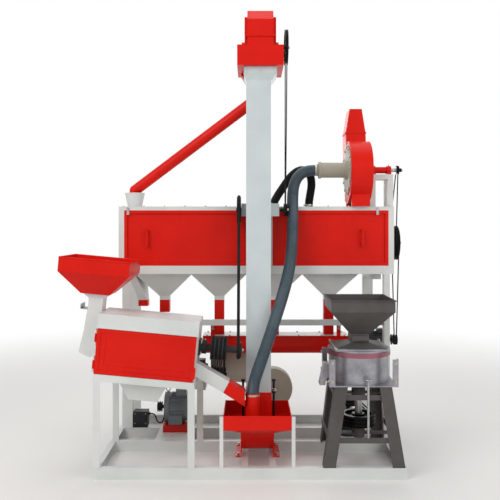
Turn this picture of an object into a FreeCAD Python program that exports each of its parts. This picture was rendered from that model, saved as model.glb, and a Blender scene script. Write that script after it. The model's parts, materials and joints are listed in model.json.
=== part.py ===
import FreeCAD, Part
import math
import os

os.makedirs("parts", exist_ok=True)
Vec = FreeCAD.Vector
AX, AY, AZ = Vec(1, 0, 0), Vec(0, 1, 0), Vec(0, 0, 1)

# Dal mill: dehusker, bucket elevator, drum grader, fan and stone mill on one base.
# Millimetres. X runs along the machine, Y into its depth, Z up from the floor.
# The origin is the middle of the base at floor level, and the front is at low Y.

# Fits and sheet
RUN = 0.05            # radial clearance of a shaft in its bearing
GAP = 0.3             # gap between pieces that only lie against each other
SHEET = 2.0           # casing sheet
PLATE = 6.0           # heavy plate and channel web

# Base frame
BASE_LENGTH = 2016.0
BASE_DEPTH = 1240.0
RAIL_TALL = 75.0
RAIL_FLANGE = 40.0
RAIL_C_SETBACK = 530.0
RAIL_B_SETBACK = 850.0
ANCHOR_HOLE_R = 7.0
ANCHOR_INSET = 60.0
FRONT = -BASE_DEPTH / 2
RAIL_C_Y = FRONT + RAIL_C_SETBACK
RAIL_B_Y = FRONT + RAIL_B_SETBACK
REAR = BASE_DEPTH / 2

# Grader and its frame
GRADER_X0 = -953.0
GRADER_X1 = 1045.0
GRADER_Y0 = FRONT + 560.0
GRADER_DEPTH = 640.0
GRADER_Y1 = GRADER_Y0 + GRADER_DEPTH
GRADER_Z0 = 1279.0
GRADER_Z1 = 1765.0
GRADER_RAIL = 60.0
GRADER_TUBE = 40.0
POST_WIDE = 80.0
POST_DEEP = 50.0
LEFT_POST_X = -983.0
RIGHT_POST_X = 968.0
MULLION_X0 = -22.0
MULLION_WIDE = 185.0
PANEL_RECESS = 14.0
DRUM_RADIUS = 145.0
DRUM_AXIS_Y = GRADER_Y0 + 260.0
DRUM_AXIS_Z = 1500.0
DRUM_SHAFT_R = 17.5
GRADER_PULLEY_R = 131.0
GRADER_PULLEY_WIDE = 44.0
BELT_PLANE_X = 1100.0

# Hoppers and spouts under the grader
HOPPER_X0 = -843.0
HOPPER_PITCH = 409.0
HOPPER_COUNT = 4
HOPPER_TALL = 172.0
SPOUT_SIDE = 72.0
SPOUT_Y = GRADER_Y0 + 180.0

# Screw conveyor
TROUGH_X0 = -350.0
TROUGH_X1 = 730.0
TROUGH_Y = SPOUT_Y
TROUGH_Z = 748.0
TROUGH_R = 74.0
TROUGH_TOP = 815.0
SCREW_R = 62.0
SCREW_SHAFT_R = 16.0
SCREW_PITCH = 120.0

# Dehusker: its own frame is tilted down to the right
TILT = 5.2
HUSKER_RIGHT = -355.0
HUSKER_LONG = 650.0
HUSKER_ORIGIN = Vec(HUSKER_RIGHT - HUSKER_LONG, FRONT, 679.0)
HUSKER_DEEP = 320.0
HUSKER_TALL = 390.0
DOOR_INSET = 10.0
DOOR_LONG = HUSKER_LONG - DOOR_INSET
DOOR_TALL = 292.0
DOOR_THICK = 18.0
ROLLER_R = 118.0
ROLLER_END_SPACE = 45.0
ROLLER_LONG = HUSKER_LONG - 2 * ROLLER_END_SPACE
ROLLER_Y = 160.0
ROLLER_Z = 208.0
ROLLER_SHAFT_R = 22.5
MAIN_PULLEY_R = 80.0
MAIN_PULLEY_WIDE = 104.0
SMALL_PULLEY_R = 50.0
JACK_BELT_X = -78.0
HOPPER_RIM_LONG = 451.0
HOPPER_RIM_DEEP = 400.0
HOPPER_SKIRT = 90.0
HOPPER_CONE = 139.0
HUSKER_POST = 45.0
HUSKER_STAND_DEEP = 570.0

# Bucket elevator
LEG_X = 58.0
LEG_WIDE = 168.0
LEG_SETBACK = 250.0
LEG_DEEP = 180.0
LEG_Z0 = 498.0
LEG_Z1 = 2704.0
LEG_Y = FRONT + LEG_SETBACK + LEG_DEEP / 2
HEAD_WIDE = 312.0
HEAD_DEEP = 370.0
HEAD_TOP = 2841.0
HEAD_X = 70.0
BUCKET_HIGH = 70.0
HOOD_WIDE = 176.0
HOOD_TOP = 3085.0
HEAD_SHAFT_Z = 2862.0
HEAD_SHAFT_R = 15.0
HEAD_DRUM_R = 40.0
SHEAVE_R = 120.0
SHEAVE_X = 250.0
BOOT_SHAFT_Z = 235.0
BOOT_X = 50.0
BOOT_WIDE = 213.0
BOOT_R = 140.0
BOOT_TOP = 315.0
TRAY_X0 = -171.0
TRAY_WIDE = 438.0
TRAY_DEEP = 404.0
TRAY_TOP = 405.0
TRAY_SKIRT = 87.0
BUCKET_PITCH = 170.0

# Jackshaft behind the leg
JACK_Y = FRONT + 452.0
JACK_Z = 1741.0
JACK_SHAFT_R = 12.5
JACK_LEFT_R = 95.0
JACK_RIGHT_R = 45.0

# Fan on top
FAN_Y = FRONT + 660.0
FAN_Z = 2041.0
FAN_X0 = 722.0
FAN_WIDE = 150.0
FAN_SHAFT_R = 14.0
FAN_EYE_R = 56.0
FAN_PULLEY_R = 32.0
IMPELLER_R = 175.0

# Stone mill
MILL_X = 733.0
MILL_Y = FRONT + 240.0
MILL_BASE_Z = 597.0
MILL_PLATE = 445.0
MILL_DRUM_R = 200.0
MILL_DRUM_TALL = 172.0
MILL_TOP_Z = 823.0
MILL_RIM = 410.0
MILL_RIM_Z = 1144.0
MILL_SKIRT = 76.0
MILL_NECK = 122.0
SPINDLE_R = 25.0
MILL_PULLEY_R = 113.0
MILL_PULLEY_WIDE = 72.0
MILL_PULLEY_Z = 327.0

# Hoses and pipe
HOSE_R = 41.0
PIPE_R = 40.0

# Places worked out from the sizes above
CUP_X, CUP_Y, CUP_R = -859.0, FRONT + 700.0, 52.0
LEFT_PANEL = (GRADER_X0 + GRADER_TUBE + GAP, MULLION_X0 - GAP)
RIGHT_PANEL = (MULLION_X0 + MULLION_WIDE + GAP, GRADER_X1 - GRADER_TUBE - GAP)
PANEL_Z = (GRADER_Z0 + GRADER_RAIL + GRADER_Z1 - 24) / 2
HINGE_R = 7.0
MOTOR_Y, MOTOR_Z, MOTOR_R = 655.0, -75.0, 78.0
MAIN_PULLEY_X, SMALL_PULLEY_X = HUSKER_LONG + 133, HUSKER_LONG + 268
NECK_X, NECK_Y, NECK_FOOT, NECK_TOP = -48.0, 160.0, HUSKER_TALL - 1.7, 500.0
CHUTE_Y0, CHUTE_Y1 = FRONT + 110, FRONT + 210
HUSKER_MOTOR_X, HUSKER_MOTOR_LONG = HUSKER_LONG - 28, 150.0
HUSKER_MOTOR_END = HUSKER_MOTOR_X + HUSKER_MOTOR_LONG / 2 + 10 + GAP
HUSKER_MOTOR_PULLEY_R = 55.0
PIPE_START = Vec(60, FRONT + 500, 2547)
PIPE_ELBOW = Vec(CUP_X, CUP_Y, 1893)
HOSE_POINTS = [Vec(x, FRONT + setback, z) for x, setback, z in (
    (495, 660, 2041), (443, 660, 2041), (388, 652, 2023), (346, 636, 1984), (322, 608, 1930),
    (311, 568, 1868), (306, 518, 1795), (304, 474, 1710), (302, 450, 1610), (296, 424, 1495),
    (283, 380, 1375), (253, 308, 1252),
    (213, 230, 1132), (172, 188, 1012), (131, 169, 893), (91, 162, 778), (55, 160, 675), (30, 158, 600),
    (20, 156, 548))]
HOSE_END = Vec(18, FRONT + 156, 500)
MILL_SHAFT_TOP = 702.0
MILL_MOTOR_Y = FRONT + 710.0
MILL_MOTOR_PULLEY_R = 60.0
MILL_MOTOR_R, MILL_MOTOR_LONG, MILL_MOTOR_LIFT = 76.0, 180.0, 90.0
MOTOR_SHAFT_R = 14.0

# Grader motor, grey main motor on its slide base, husk blower and starter box
GRADER_MOTOR_X, GRADER_MOTOR_Y, GRADER_MOTOR_Z = 968.0, DRUM_AXIS_Y, 762.0
GRADER_MOTOR_R, GRADER_MOTOR_LONG, GRADER_MOTOR_FOOT = 66.0, 140.0, 14.0
GRADER_MOTOR_END = GRADER_MOTOR_X + GRADER_MOTOR_LONG / 2 + 10 + GAP
GRADER_MOTOR_PULLEY_R = 40.0
MAIN_MOTOR_X, MAIN_MOTOR_Y = -564.0, RAIL_B_Y - 4
MAIN_MOTOR_R, MAIN_MOTOR_LONG = 112.0, 170.0
SLIDE_X0, SLIDE_X1, SLIDE_TALL = -655.0, -470.0, 52.0
SLIDE_HALF, SLIDE_RAIL_WIDE, SLIDE_TOP = 110.0, 52.0, 12.0
BLOWER_X, BLOWER_Z, BLOWER_R = 172.0, 388.0, 152.0
BLOWER_Y0, BLOWER_Y1, BLOWER_SHEET = RAIL_B_Y - 40, RAIL_B_Y + 60, 3.0
BLOWER_EYE_R, BLOWER_EYE_BORE = 34.0, 28.0
BLOWER_BLADE, BLOWER_BACK_R = 90.0, 110.0
BLOWER_MOTOR_Y, BLOWER_MOTOR_R, BLOWER_MOTOR_LONG, BLOWER_MOTOR_FOOT = RAIL_B_Y + 162, 74.0, 140.0, 20.0
STARTER = (-900, -790, RAIL_B_Y + 10, RAIL_B_Y + 100)
LEAD = [Vec(x, RAIL_B_Y + back, z) for x, back, z in (
    (-773.5, 55, 170), (-748, 55, 169), (-733, 54, 149), (-727, 52, 123), (-711, 48, 102), (-687, 42, 102),
    (-671, 36, 122), (-667, 29, 148), (-649.8, 20, 168))]


def box(x0, x1, y0, y1, z0, z1):
    """Block between two opposite corners."""
    return Part.makeBox(x1 - x0, y1 - y0, z1 - z0, Vec(x0, y0, z0))


def rod(start, along, radius, length):
    """Round bar from start along a direction."""
    return Part.makeCylinder(radius, length, start, along)


def pipe(start, along, outer, inner, length):
    """Round tube from start along a direction."""
    return rod(start, along, outer, length).cut(rod(start, along, inner, length))


def fuse(pieces):
    """The pieces as one solid, with no seams on flat faces."""
    solid = pieces[0].multiFuse(pieces[1:]) if len(pieces) > 1 else pieces[0]
    return solid.removeSplitter()


def group(pieces):
    """Separate solids kept together in one node."""
    return Part.makeCompound(pieces)


def polygon(points):
    """Flat face through the points."""
    return Part.Face(Part.makePolygon(points + [points[0]]))


def prism(points, along):
    """The face through the points, drawn out along a direction."""
    return polygon(points).extrude(along)


def corners_of(x0, x1, y0, y1, z):
    """The four corners of a level rectangle."""
    return [Vec(x0, y0, z), Vec(x1, y0, z), Vec(x1, y1, z), Vec(x0, y1, z)]


def taper(low, high):
    """Solid between two level rectangles, each (x0, x1, y0, y1, z): six flat faces."""
    under, over = corners_of(*low), corners_of(*high)
    faces = [polygon(under[::-1]), polygon(over)]
    for a in range(4):
        b = (a + 1) % 4
        faces.append(polygon([under[a], under[b], over[b], over[a]]))
    return Part.Solid(Part.Shell(faces))


def shrink(rect, wall, rise=0.0):
    """A level rectangle made smaller by a wall all round, and raised."""
    x0, x1, y0, y1, z = rect
    return (x0 + wall, x1 - wall, y0 + wall, y1 - wall, z + rise)


def chute(low, high, wall):
    """Open tapered sheet duct between two level rectangles."""
    outer = taper(low, high)
    bore = taper(shrink(low, wall), shrink(high, wall))
    return outer.cut(bore)


def channel(start, end, open_way, tall=RAIL_TALL, flange=RAIL_FLANGE, wall=PLATE):
    """Rolled channel from start to end at its web's foot, flanges pointing open_way."""
    up = AZ * tall
    out = open_way * flange
    web = open_way * wall
    foot = AZ * wall
    points = [start, start + out, start + out + foot, start + web + foot,
              start + web + up - foot, start + out + up - foot, start + out + up, start + up]
    return prism(points, end - start)


def pulley(centre, along, radius, wide, grooves, bore, hub=0.0):
    """V-belt pulley turned from one blank, its mid-plane on centre."""
    depth = min(11.0, 0.22 * radius)
    half = wide / 2
    start = centre - along * half
    body = rod(start, along, radius, wide)
    pitch = wide / max(grooves, 1)
    top = min(0.72 * pitch, 15.0)
    for index in range(grooves):
        middle = (index + 0.5) * pitch
        side = along.cross(AZ) if abs(along.z) < 0.9 else AX
        side.normalize()
        a = start + along * (middle - top / 2) + side * (radius + 1)
        b = start + along * (middle + top / 2) + side * (radius + 1)
        c = start + along * (middle + top / 4) + side * (radius - depth)
        d = start + along * (middle - top / 4) + side * (radius - depth)
        body = body.cut(polygon([a, b, c, d]).revolve(centre, along, 360))
    if radius > 60:
        rim_in = radius - depth - 12
        dish = wide * 0.3
        hub_r = bore * 1.7
        for face, way in ((start, 1), (start + along * wide, -1)):
            ring = pipe(face, along * way, rim_in, hub_r, dish)
            body = body.cut(ring)
    if hub:
        body = body.fuse(rod(start + along * wide, along, bore * 1.7, hub))
    return body.cut(rod(start - along * 5, along, bore, wide + hub + 10)).removeSplitter()


def belt(first, first_r, second, second_r, along, wide, thick=8.0):
    """Closed flat-sided belt round two parallel pulleys, centred on their mid-planes."""
    line = second - first
    length = line.Length
    line.normalize()
    side = along.cross(line)
    side.normalize()

    def loop(extra):
        r1, r2 = first_r + extra, second_r + extra
        angle = math.acos((r1 - r2) / length)
        edge = []
        for sign in (1, -1):
            way = line * math.cos(angle) + side * (sign * math.sin(angle))
            edge.append((first + way * r1, second + way * r2))
        arcs = [Part.Arc(edge[0][0], first - line * r1, edge[1][0]).toShape(),
                Part.makeLine(edge[1][0], edge[1][1]),
                Part.Arc(edge[1][1], second + line * r2, edge[0][1]).toShape(),
                Part.makeLine(edge[0][1], edge[0][0])]
        return Part.Face(Part.Wire(Part.__sortEdges__(arcs)))

    ring = loop(thick).cut(loop(0.0))
    ring.translate(along * (-wide / 2))
    return ring.extrude(along * wide)


def flange_bearing(centre, along, bore, side=70.0, thick=12.0, boss=26.0):
    """Square flange bearing: plate on centre, round boss standing out along."""
    across = along.cross(AZ)
    across.normalize()
    up = across.cross(along)
    half = side / 2
    corners = [centre + across * a + up * b for a, b in
               ((-half, -half), (half, -half), (half, half), (-half, half))]
    body = prism(corners, along * thick)
    body = body.fuse(rod(centre, along, bore * 2.0, boss))
    for a, b in ((-1, -1), (1, -1), (1, 1), (-1, 1)):
        spot = centre + across * (a * half * 0.72) + up * (b * half * 0.72)
        body = body.fuse(rod(spot + along * thick, along, 6.0, 6.0))
    return body.cut(rod(centre - along, along, bore + RUN, boss + 2)).removeSplitter()


def rounded_route(points, name):
    """Straight runs joined by tangent arcs, as large as each pair of runs allows."""
    edges = []
    tightest = None
    last = points[0]
    for before, corner, after in zip(points, points[1:], points[2:]):
        into = corner - before
        out = after - corner
        run = min(into.Length, out.Length)
        turn = into.getAngle(out)
        radius = 0.45 * run / math.tan(turn / 2)
        tightest = radius if tightest is None else min(tightest, radius)
        cut = 0.45 * run
        into.normalize()
        out.normalize()
        start = corner - into * cut
        finish = corner + out * cut
        inward = out - into
        inward.normalize()
        reach = math.hypot(radius, cut)
        middle = corner + inward * (reach - radius)
        edges.append(Part.makeLine(last, start))
        edges.append(Part.Arc(start, middle, finish).toShape())
        last = finish
    edges.append(Part.makeLine(last, points[-1]))
    wire = Part.Wire(edges)
    print(name, "length", round(wire.Length), "tightest radius", round(tightest))
    return wire


def hose(points, radius, name):
    """Round hose along the points, with rounded corners."""
    route = rounded_route(points, name)
    along = points[1] - points[0]
    section = Part.Wire(Part.makeCircle(radius, points[0], along))
    solid = route.makePipeShell([section], True, False)
    print(name, "volume ratio", round(solid.Volume / (math.pi * radius ** 2 * route.Length), 4))
    return solid


def save(name, shape):
    """Writes one piece as a STEP file under its node's name."""
    shape.exportStep("parts/" + name + ".step")


def base_frame():
    """Base of channel: outer frame, two inner rails, cross members and anchor holes at the corners."""
    half = BASE_LENGTH / 2
    inner = half - RAIL_FLANGE
    rails = [channel(Vec(-half, FRONT, 0), Vec(half, FRONT, 0), AY),
             channel(Vec(half, REAR, 0), Vec(-half, REAR, 0), -AY)]
    for y in (RAIL_C_Y, RAIL_B_Y):
        rails.append(channel(Vec(-half + PLATE, y, 0), Vec(half - PLATE, y, 0), AY))
    for x, way in ((-half, AX), (half, -AX)):
        rails.append(channel(Vec(x, FRONT, 0), Vec(x, REAR, 0), way))
    for x in (LEG_X - 110, LEG_X + 70):
        rails.append(box(x, x + RAIL_FLANGE, FRONT + PLATE, RAIL_C_Y, RAIL_TALL - PLATE, RAIL_TALL))
    for x0, x1 in ((-690, -460), (MILL_X - 90, MILL_X + 90)):
        rails.append(box(x0, x1, RAIL_C_Y + PLATE, RAIL_B_Y + PLATE, RAIL_TALL - PLATE, RAIL_TALL))
    rails.append(box(60, 300, RAIL_B_Y + PLATE, REAR - PLATE, RAIL_TALL - PLATE, RAIL_TALL))
    frame = fuse(rails)
    for x in (-half + 20, half - 20):
        for y in (FRONT + ANCHOR_INSET + 40, REAR - ANCHOR_INSET - 40):
            frame = frame.cut(rod(Vec(x, y, -1), AZ, ANCHOR_HOLE_R, PLATE + 2))
    return frame


def grader_frame():
    """Frame of square tube round the grader, on its posts, with the shelf of the grader's motor."""
    x0, x1, y0, y1 = GRADER_X0, GRADER_X1, GRADER_Y0, GRADER_Y1
    r, t = GRADER_RAIL, GRADER_TUBE
    bars = [box(x0, x1, y0, y0 + t, GRADER_Z0, GRADER_Z0 + r),
            box(x0, x1, y1 - t, y1, GRADER_Z0, GRADER_Z0 + r)]
    for x in (x0, x1 - t):
        bars.append(box(x, x + t, y0, y1, GRADER_Z0, GRADER_Z0 + r))
    for x in (x0, MULLION_X0, MULLION_X0 + MULLION_WIDE - t, x1 - t):
        for y in (y0, y1 - t):
            bars.append(box(x, x + t, y, y + t, GRADER_Z0, GRADER_Z1))
    for y in (y0, y1 - t):
        bars.append(box(x0, x1, y, y + t, GRADER_Z1 - 24, GRADER_Z1))
    for x in (x0, x1 - t):
        bars.append(box(x, x + t, y0, y1, GRADER_Z1 - 24, GRADER_Z1))
    left = LEFT_POST_X
    bars.append(box(left, left + POST_WIDE, RAIL_B_Y, RAIL_B_Y + POST_DEEP, RAIL_TALL, GRADER_Z0))
    right = RIGHT_POST_X
    bars.append(box(right, right + RAIL_FLANGE, RAIL_C_Y, RAIL_C_Y + POST_DEEP + 20, RAIL_TALL, GRADER_Z0))
    for x in (left, right - RAIL_FLANGE):
        bars.append(box(x, x + POST_WIDE, REAR - POST_DEEP, REAR, RAIL_TALL, GRADER_Z0))
        bars.append(box(x, x + POST_WIDE, RAIL_B_Y, REAR, GRADER_Z0 - r, GRADER_Z0))
    bars.append(box(left + POST_WIDE, x1 - t, y0 + 8, y0 + 8 + t, 905, 945))
    bars.append(box(left + POST_WIDE - t, left + POST_WIDE, y0 + 8, RAIL_B_Y, 905, 945))
    bars.append(box(right - 90, right + RAIL_FLANGE, GRADER_Y0 + 160, REAR - 10, GRADER_MOTOR_Z - 86,
                    GRADER_MOTOR_Z - 80))
    bars.append(box(right - 30, right + RAIL_FLANGE, RAIL_C_Y, REAR - 10, GRADER_MOTOR_Z - 120,
                    GRADER_MOTOR_Z - 86))
    return fuse(bars)


def grader_body():
    """Folded sheet casing of the grader with its lid, open in front and below."""
    t = GRADER_TUBE + GAP
    x0, x1 = GRADER_X0 + t, GRADER_X1 - t
    y0, y1 = GRADER_Y0 + t, GRADER_Y1 - t
    z0, z1 = GRADER_Z0 + 2, GRADER_Z1 + 4
    shell = box(x0, x1, y0, y1, z0, z1).cut(box(x0 + 3, x1 - 3, y0 + 3, y1 - 3, z0 - 1, z1 - 3))
    lid = box(GRADER_X0, GRADER_X1, GRADER_Y0, GRADER_Y1, GRADER_Z1 + GAP, GRADER_Z1 + 4)
    shell = shell.fuse(lid).removeSplitter()
    shell = shell.cut(rod(Vec(x0 - 5, DRUM_AXIS_Y, DRUM_AXIS_Z), AX, DRUM_SHAFT_R + 6, x1 - x0 + 10))
    return shell.cut(rod(Vec(CUP_X, CUP_Y, GRADER_Z1 - 10), AZ, CUP_R - 6, 30))


def grader_panel(x0, x1):
    """Pressed front panel, its field sunk behind a raised border."""
    y = GRADER_Y0
    z0, z1 = GRADER_Z0 + GRADER_RAIL + GAP, GRADER_Z1 - 24 - GAP
    sheet = box(x0, x1, y, y + 20, z0, z1)
    sheet = sheet.cut(box(x0 + 22, x1 - 22, y - 1, y + PANEL_RECESS, z0 + 22, z1 - 22))
    return sheet.cut(box(x0 + 3, x1 - 3, y + PANEL_RECESS + 3, y + 21, z0 + 3, z1 - 3))


def pull_handle(x):
    """Bent strap handle on a front panel."""
    y = GRADER_Y0 + PANEL_RECESS
    feet = [box(x - 10, x + 10, y - 30, y, PANEL_Z + s * 52 - 9, PANEL_Z + s * 52 + 9) for s in (-1, 1)]
    grip = rod(Vec(x, y - 30, PANEL_Z - 62), AZ, 9, 124)
    return fuse(feet + [grip])


def turn_button(x):
    """Small plate on a screw that holds a front panel in its frame."""
    y = GRADER_Y0 - GAP
    z = GRADER_Z1 - 12
    blade = box(x - 9, x + 9, y - 4, y, z - 44, z + 10)
    return fuse([blade, rod(Vec(x, y, z), -AY, 8, 9)])


def hopper_spans():
    """Left and right edge of each hopper under the grader."""
    for index in range(HOPPER_COUNT):
        x = HOPPER_X0 + index * HOPPER_PITCH
        yield x, min(x + HOPPER_PITCH, GRADER_X1 - GRADER_TUBE)


def grader_hoppers():
    """Row of tapered sheet hoppers, each with a square neck."""
    y0, y1 = GRADER_Y0 + 45, GRADER_Y1 - 45
    top = GRADER_Z0 - GAP
    half = SPOUT_SIDE / 2
    made = []
    for x0, x1 in hopper_spans():
        mid = (x0 + x1) / 2
        low = (mid - half, mid + half, SPOUT_Y - half, SPOUT_Y + half, top - HOPPER_TALL)
        cone = chute(low, (x0 + 1, x1 - 1, y0, y1, top), 3)
        collar = box(mid - half, mid + half, SPOUT_Y - half, SPOUT_Y + half, top - HOPPER_TALL - 30,
                     top - HOPPER_TALL)
        collar = collar.cut(box(mid - half + 3, mid + half - 3, SPOUT_Y - half + 3, SPOUT_Y + half - 3,
                                top - HOPPER_TALL - 31, top - HOPPER_TALL + 1))
        made.append(cone.fuse(collar).removeSplitter())
    low = (-832, -765, SPOUT_Y - half, SPOUT_Y + half, 1075)
    made.append(chute(low, (-900, HOPPER_X0 - 2, y0, y1, top), 3))
    return group(made)


def grain_spouts():
    """Red square spouts from the hopper necks, each to where its grade goes."""
    top = GRADER_Z0 - GAP - HOPPER_TALL - 30
    half = SPOUT_SIDE / 2
    made = []
    for index, (x0, x1) in enumerate(hopper_spans()):
        mid = (x0 + x1) / 2
        tube = box(mid - half, mid + half, SPOUT_Y - half, SPOUT_Y + half, 0, top)
        bore = box(mid - half + 3, mid + half - 3, SPOUT_Y - half + 3, SPOUT_Y + half - 3, -1, top + 1)
        foot = 985 if index == 0 else TROUGH_TOP + SHEET + GAP
        made.append(tube.cut(bore).common(box(x0, x1, -900, 900, foot, top)))
    made.append(box(-834, -763, SPOUT_Y - half - 2, SPOUT_Y + half + 2, 1030, 1075 - GAP).cut(
        box(-829, -768, SPOUT_Y - half + 3, SPOUT_Y + half - 3, 1029, 1076)))
    return group(made)


def sieve_drum():
    """Graded sieve: a drum of screen between ring hoops, on spiders and one shaft."""
    x0, x1 = GRADER_X0 + 75, GRADER_X1 - 75
    centre = Vec(x0, DRUM_AXIS_Y, DRUM_AXIS_Z)
    parts = [pipe(centre, AX, DRUM_RADIUS, DRUM_RADIUS - 3, x1 - x0)]
    for index in range(5):
        at = centre + AX * (index * (x1 - x0 - 12) / 4)
        parts.append(pipe(at, AX, DRUM_RADIUS + 6, DRUM_RADIUS - 12, 12))
        for arm in range(4):
            spoke = Part.makeBox(12, 14, DRUM_RADIUS - 6, at - AY * 7)
            spoke.rotate(at, AX, arm * 90)
            parts.append(spoke)
    shaft = rod(Vec(GRADER_X0 - 25, DRUM_AXIS_Y, DRUM_AXIS_Z), AX, DRUM_SHAFT_R,
                BELT_PLANE_X + 45 - GRADER_X0 + 25)
    return fuse(parts + [shaft])


def drum_bearings():
    """Flange bearings at both ends of the sieve drum's shaft."""
    left = flange_bearing(Vec(GRADER_X0 - GAP, DRUM_AXIS_Y, DRUM_AXIS_Z), -AX, DRUM_SHAFT_R, 90)
    right = flange_bearing(Vec(GRADER_X1 + GAP, DRUM_AXIS_Y, DRUM_AXIS_Z), AX, DRUM_SHAFT_R, 90)
    return group([left, right])


def grader_end_covers():
    """End sheets of the grader, bored for the drum's shaft."""
    made = []
    for x0, x1 in ((GRADER_X0 + GAP, GRADER_X0 + GRADER_TUBE - GAP),
                   (GRADER_X1 - GRADER_TUBE + GAP, GRADER_X1 - GAP)):
        z0, z1 = GRADER_Z0 + GRADER_RAIL + GAP, GRADER_Z1 - 24 - GAP
        y0, y1 = GRADER_Y0 + GRADER_TUBE + GAP, GRADER_Y1 - GRADER_TUBE - GAP
        plate = box(x0 if x0 < 0 else x1 - 4, x0 + 4 if x0 < 0 else x1, y0, y1, z0, z1)
        made.append(plate.cut(rod(Vec(x0 - 9, DRUM_AXIS_Y, DRUM_AXIS_Z), AX, DRUM_SHAFT_R + 6, 60)))
    return group(made)


def conveyor_trough():
    """U-shaped trough of the screw conveyor with its end plates and hangers."""
    x0, x1, r = TROUGH_X0, TROUGH_X1, TROUGH_R
    y, z = TROUGH_Y, TROUGH_Z
    round_part = rod(Vec(x0, y, z), AX, r, x1 - x0).common(box(x0, x1, y - r, y + r, z - r, TROUGH_TOP))
    outer = fuse([round_part, box(x0, x1, y - r, y + r, z, TROUGH_TOP)])
    inner = fuse([rod(Vec(x0 + 4, y, z), AX, r - 3, x1 - x0 - 8),
                  box(x0 + 4, x1 - 4, y - r + 3, y + r - 3, z, TROUGH_TOP + 1)])
    body = outer.cut(inner)
    lip = box(x0, x1, y - r - 18, y + r + 18, TROUGH_TOP - 4, TROUGH_TOP).cut(
        box(x0 + 4, x1 - 4, y - r + 3, y + r - 3, TROUGH_TOP - 5, TROUGH_TOP + 1))
    body = body.fuse(lip).removeSplitter()
    body = body.cut(rod(Vec(x0 - 1, y, z), AX, SCREW_SHAFT_R + RUN, x1 - x0 + 2))
    hangers = [box(x, x + 30, y - r - 18, y - r - 12, TROUGH_TOP, 905) for x in (x0 + 60, x1 - 90)]
    return fuse([body] + hangers)


def conveyor_lid():
    """Flat lid of the trough with an opening under each spout."""
    x0, x1, y = TROUGH_X0, TROUGH_X1, TROUGH_Y
    lid = box(x0, x1, y - TROUGH_R - 11, y + TROUGH_R + 16, TROUGH_TOP, TROUGH_TOP + SHEET)
    half = SPOUT_SIDE / 2 - 4
    for a, b in list(hopper_spans())[1:]:
        mid = (a + b) / 2
        if mid + half < x1:
            lid = lid.cut(box(mid - half, mid + half, SPOUT_Y - half, SPOUT_Y + half,
                              TROUGH_TOP - 1, TROUGH_TOP + 9))
    return lid


def conveyor_screw():
    """Shaft with one flat flight, drawn as a ruled helical face given its thickness."""
    x0, x1 = TROUGH_X0 + 20, TROUGH_X1 - 20
    turns = int((x1 - x0) / SCREW_PITCH)
    shaft = rod(Vec(TROUGH_X0 - 40, TROUGH_Y, TROUGH_Z), AX, SCREW_SHAFT_R, x1 - x0 + 100)
    flight_r = (SCREW_R + SCREW_SHAFT_R) / 2
    parts = [shaft]
    steps = 8
    for index in range(turns * steps):
        at = Vec(x0 + (index + 0.5) * SCREW_PITCH / steps, TROUGH_Y, TROUGH_Z)
        blade = Part.makeBox(3, 42, SCREW_R - 8, at + Vec(-1.5, -21, 6))
        blade.rotate(at, AZ, math.degrees(math.atan(SCREW_PITCH / (2 * math.pi * flight_r))))
        blade.rotate(at, AX, index * 360 / steps)
        parts.append(blade)
    return fuse(parts)


def inlet_cup():
    """Small funnel on the grader's lid that takes the discharge pipe."""
    x, y = CUP_X, CUP_Y
    top = 1874.0
    foot = GRADER_Z1 + 4 + GAP
    outer = Part.makeCone(CUP_R, CUP_R + 22, top - foot, Vec(x, y, foot))
    inner = Part.makeCone(CUP_R - 4, CUP_R + 18, top - foot, Vec(x, y, foot))
    flange = pipe(Vec(x, y, foot), AZ, CUP_R + 16, CUP_R - 4, 5)
    web = box(x - CUP_R - 8, x + CUP_R + 8, y - 4, y + 4, foot + 40, foot + 70)
    web = web.cut(rod(Vec(x, y, foot), AZ, PIPE_R + GAP, 200))
    return fuse([outer.cut(inner), flange, web])


for node, maker in (("base_frame", base_frame), ("grader_frame", grader_frame),
                    ("grader_hoppers", lambda: group([grader_hoppers(), inlet_cup()])),
                    ("grain_spouts", grain_spouts),
                    ("conveyor_trough", conveyor_trough), ("conveyor_lid", conveyor_lid),
                    ("conveyor_screw", conveyor_screw)):
    save(node, maker())
save("grader_body", group([grader_body(), grader_end_covers()]))
save("grader_panels", group([grader_panel(*LEFT_PANEL), grader_panel(*RIGHT_PANEL),
                             pull_handle(-745.0), pull_handle(815.0)]))
save("left_turn_button", turn_button(-885.0))
save("right_turn_button", turn_button(925.0))
save("sieve_drum", group([sieve_drum(), pulley(Vec(BELT_PLANE_X, DRUM_AXIS_Y, DRUM_AXIS_Z), AX,
                                               GRADER_PULLEY_R, 44.0, 2, DRUM_SHAFT_R)]))


def tilted(shape):
    """Carries a dehusker piece from its own level frame to its tilted place."""
    copy = shape.copy()
    copy.rotate(Vec(0, 0, 0), AY, TILT)
    copy.translate(HUSKER_ORIGIN)
    return copy


def husker_casing():
    """Dehusker casing: folded sheet round the roller, open in front for its door."""
    long, deep, tall = HUSKER_LONG, HUSKER_DEEP, HUSKER_TALL
    back = DOOR_THICK + GAP
    shell = box(0, long, back, deep, 0, tall).cut(box(3, long - 3, back + 3, deep - 3, -1, tall - 3))
    shell = shell.cut(box(24, DOOR_LONG - 24, back - 1, back + 4, 24, DOOR_TALL - 18))
    brow = box(0, long, 0, back, DOOR_TALL + 3, tall)
    shell = shell.fuse(brow).removeSplitter()
    shell = shell.cut(rod(Vec(long - 5, ROLLER_Y, ROLLER_Z), AX, ROLLER_SHAFT_R + 4, 10))
    shell = shell.cut(box(long - 4, long + 1, 113, 207, 18, 102))
    return shell.cut(box(-1, 4, 120, 200, 300, 380))


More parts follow.
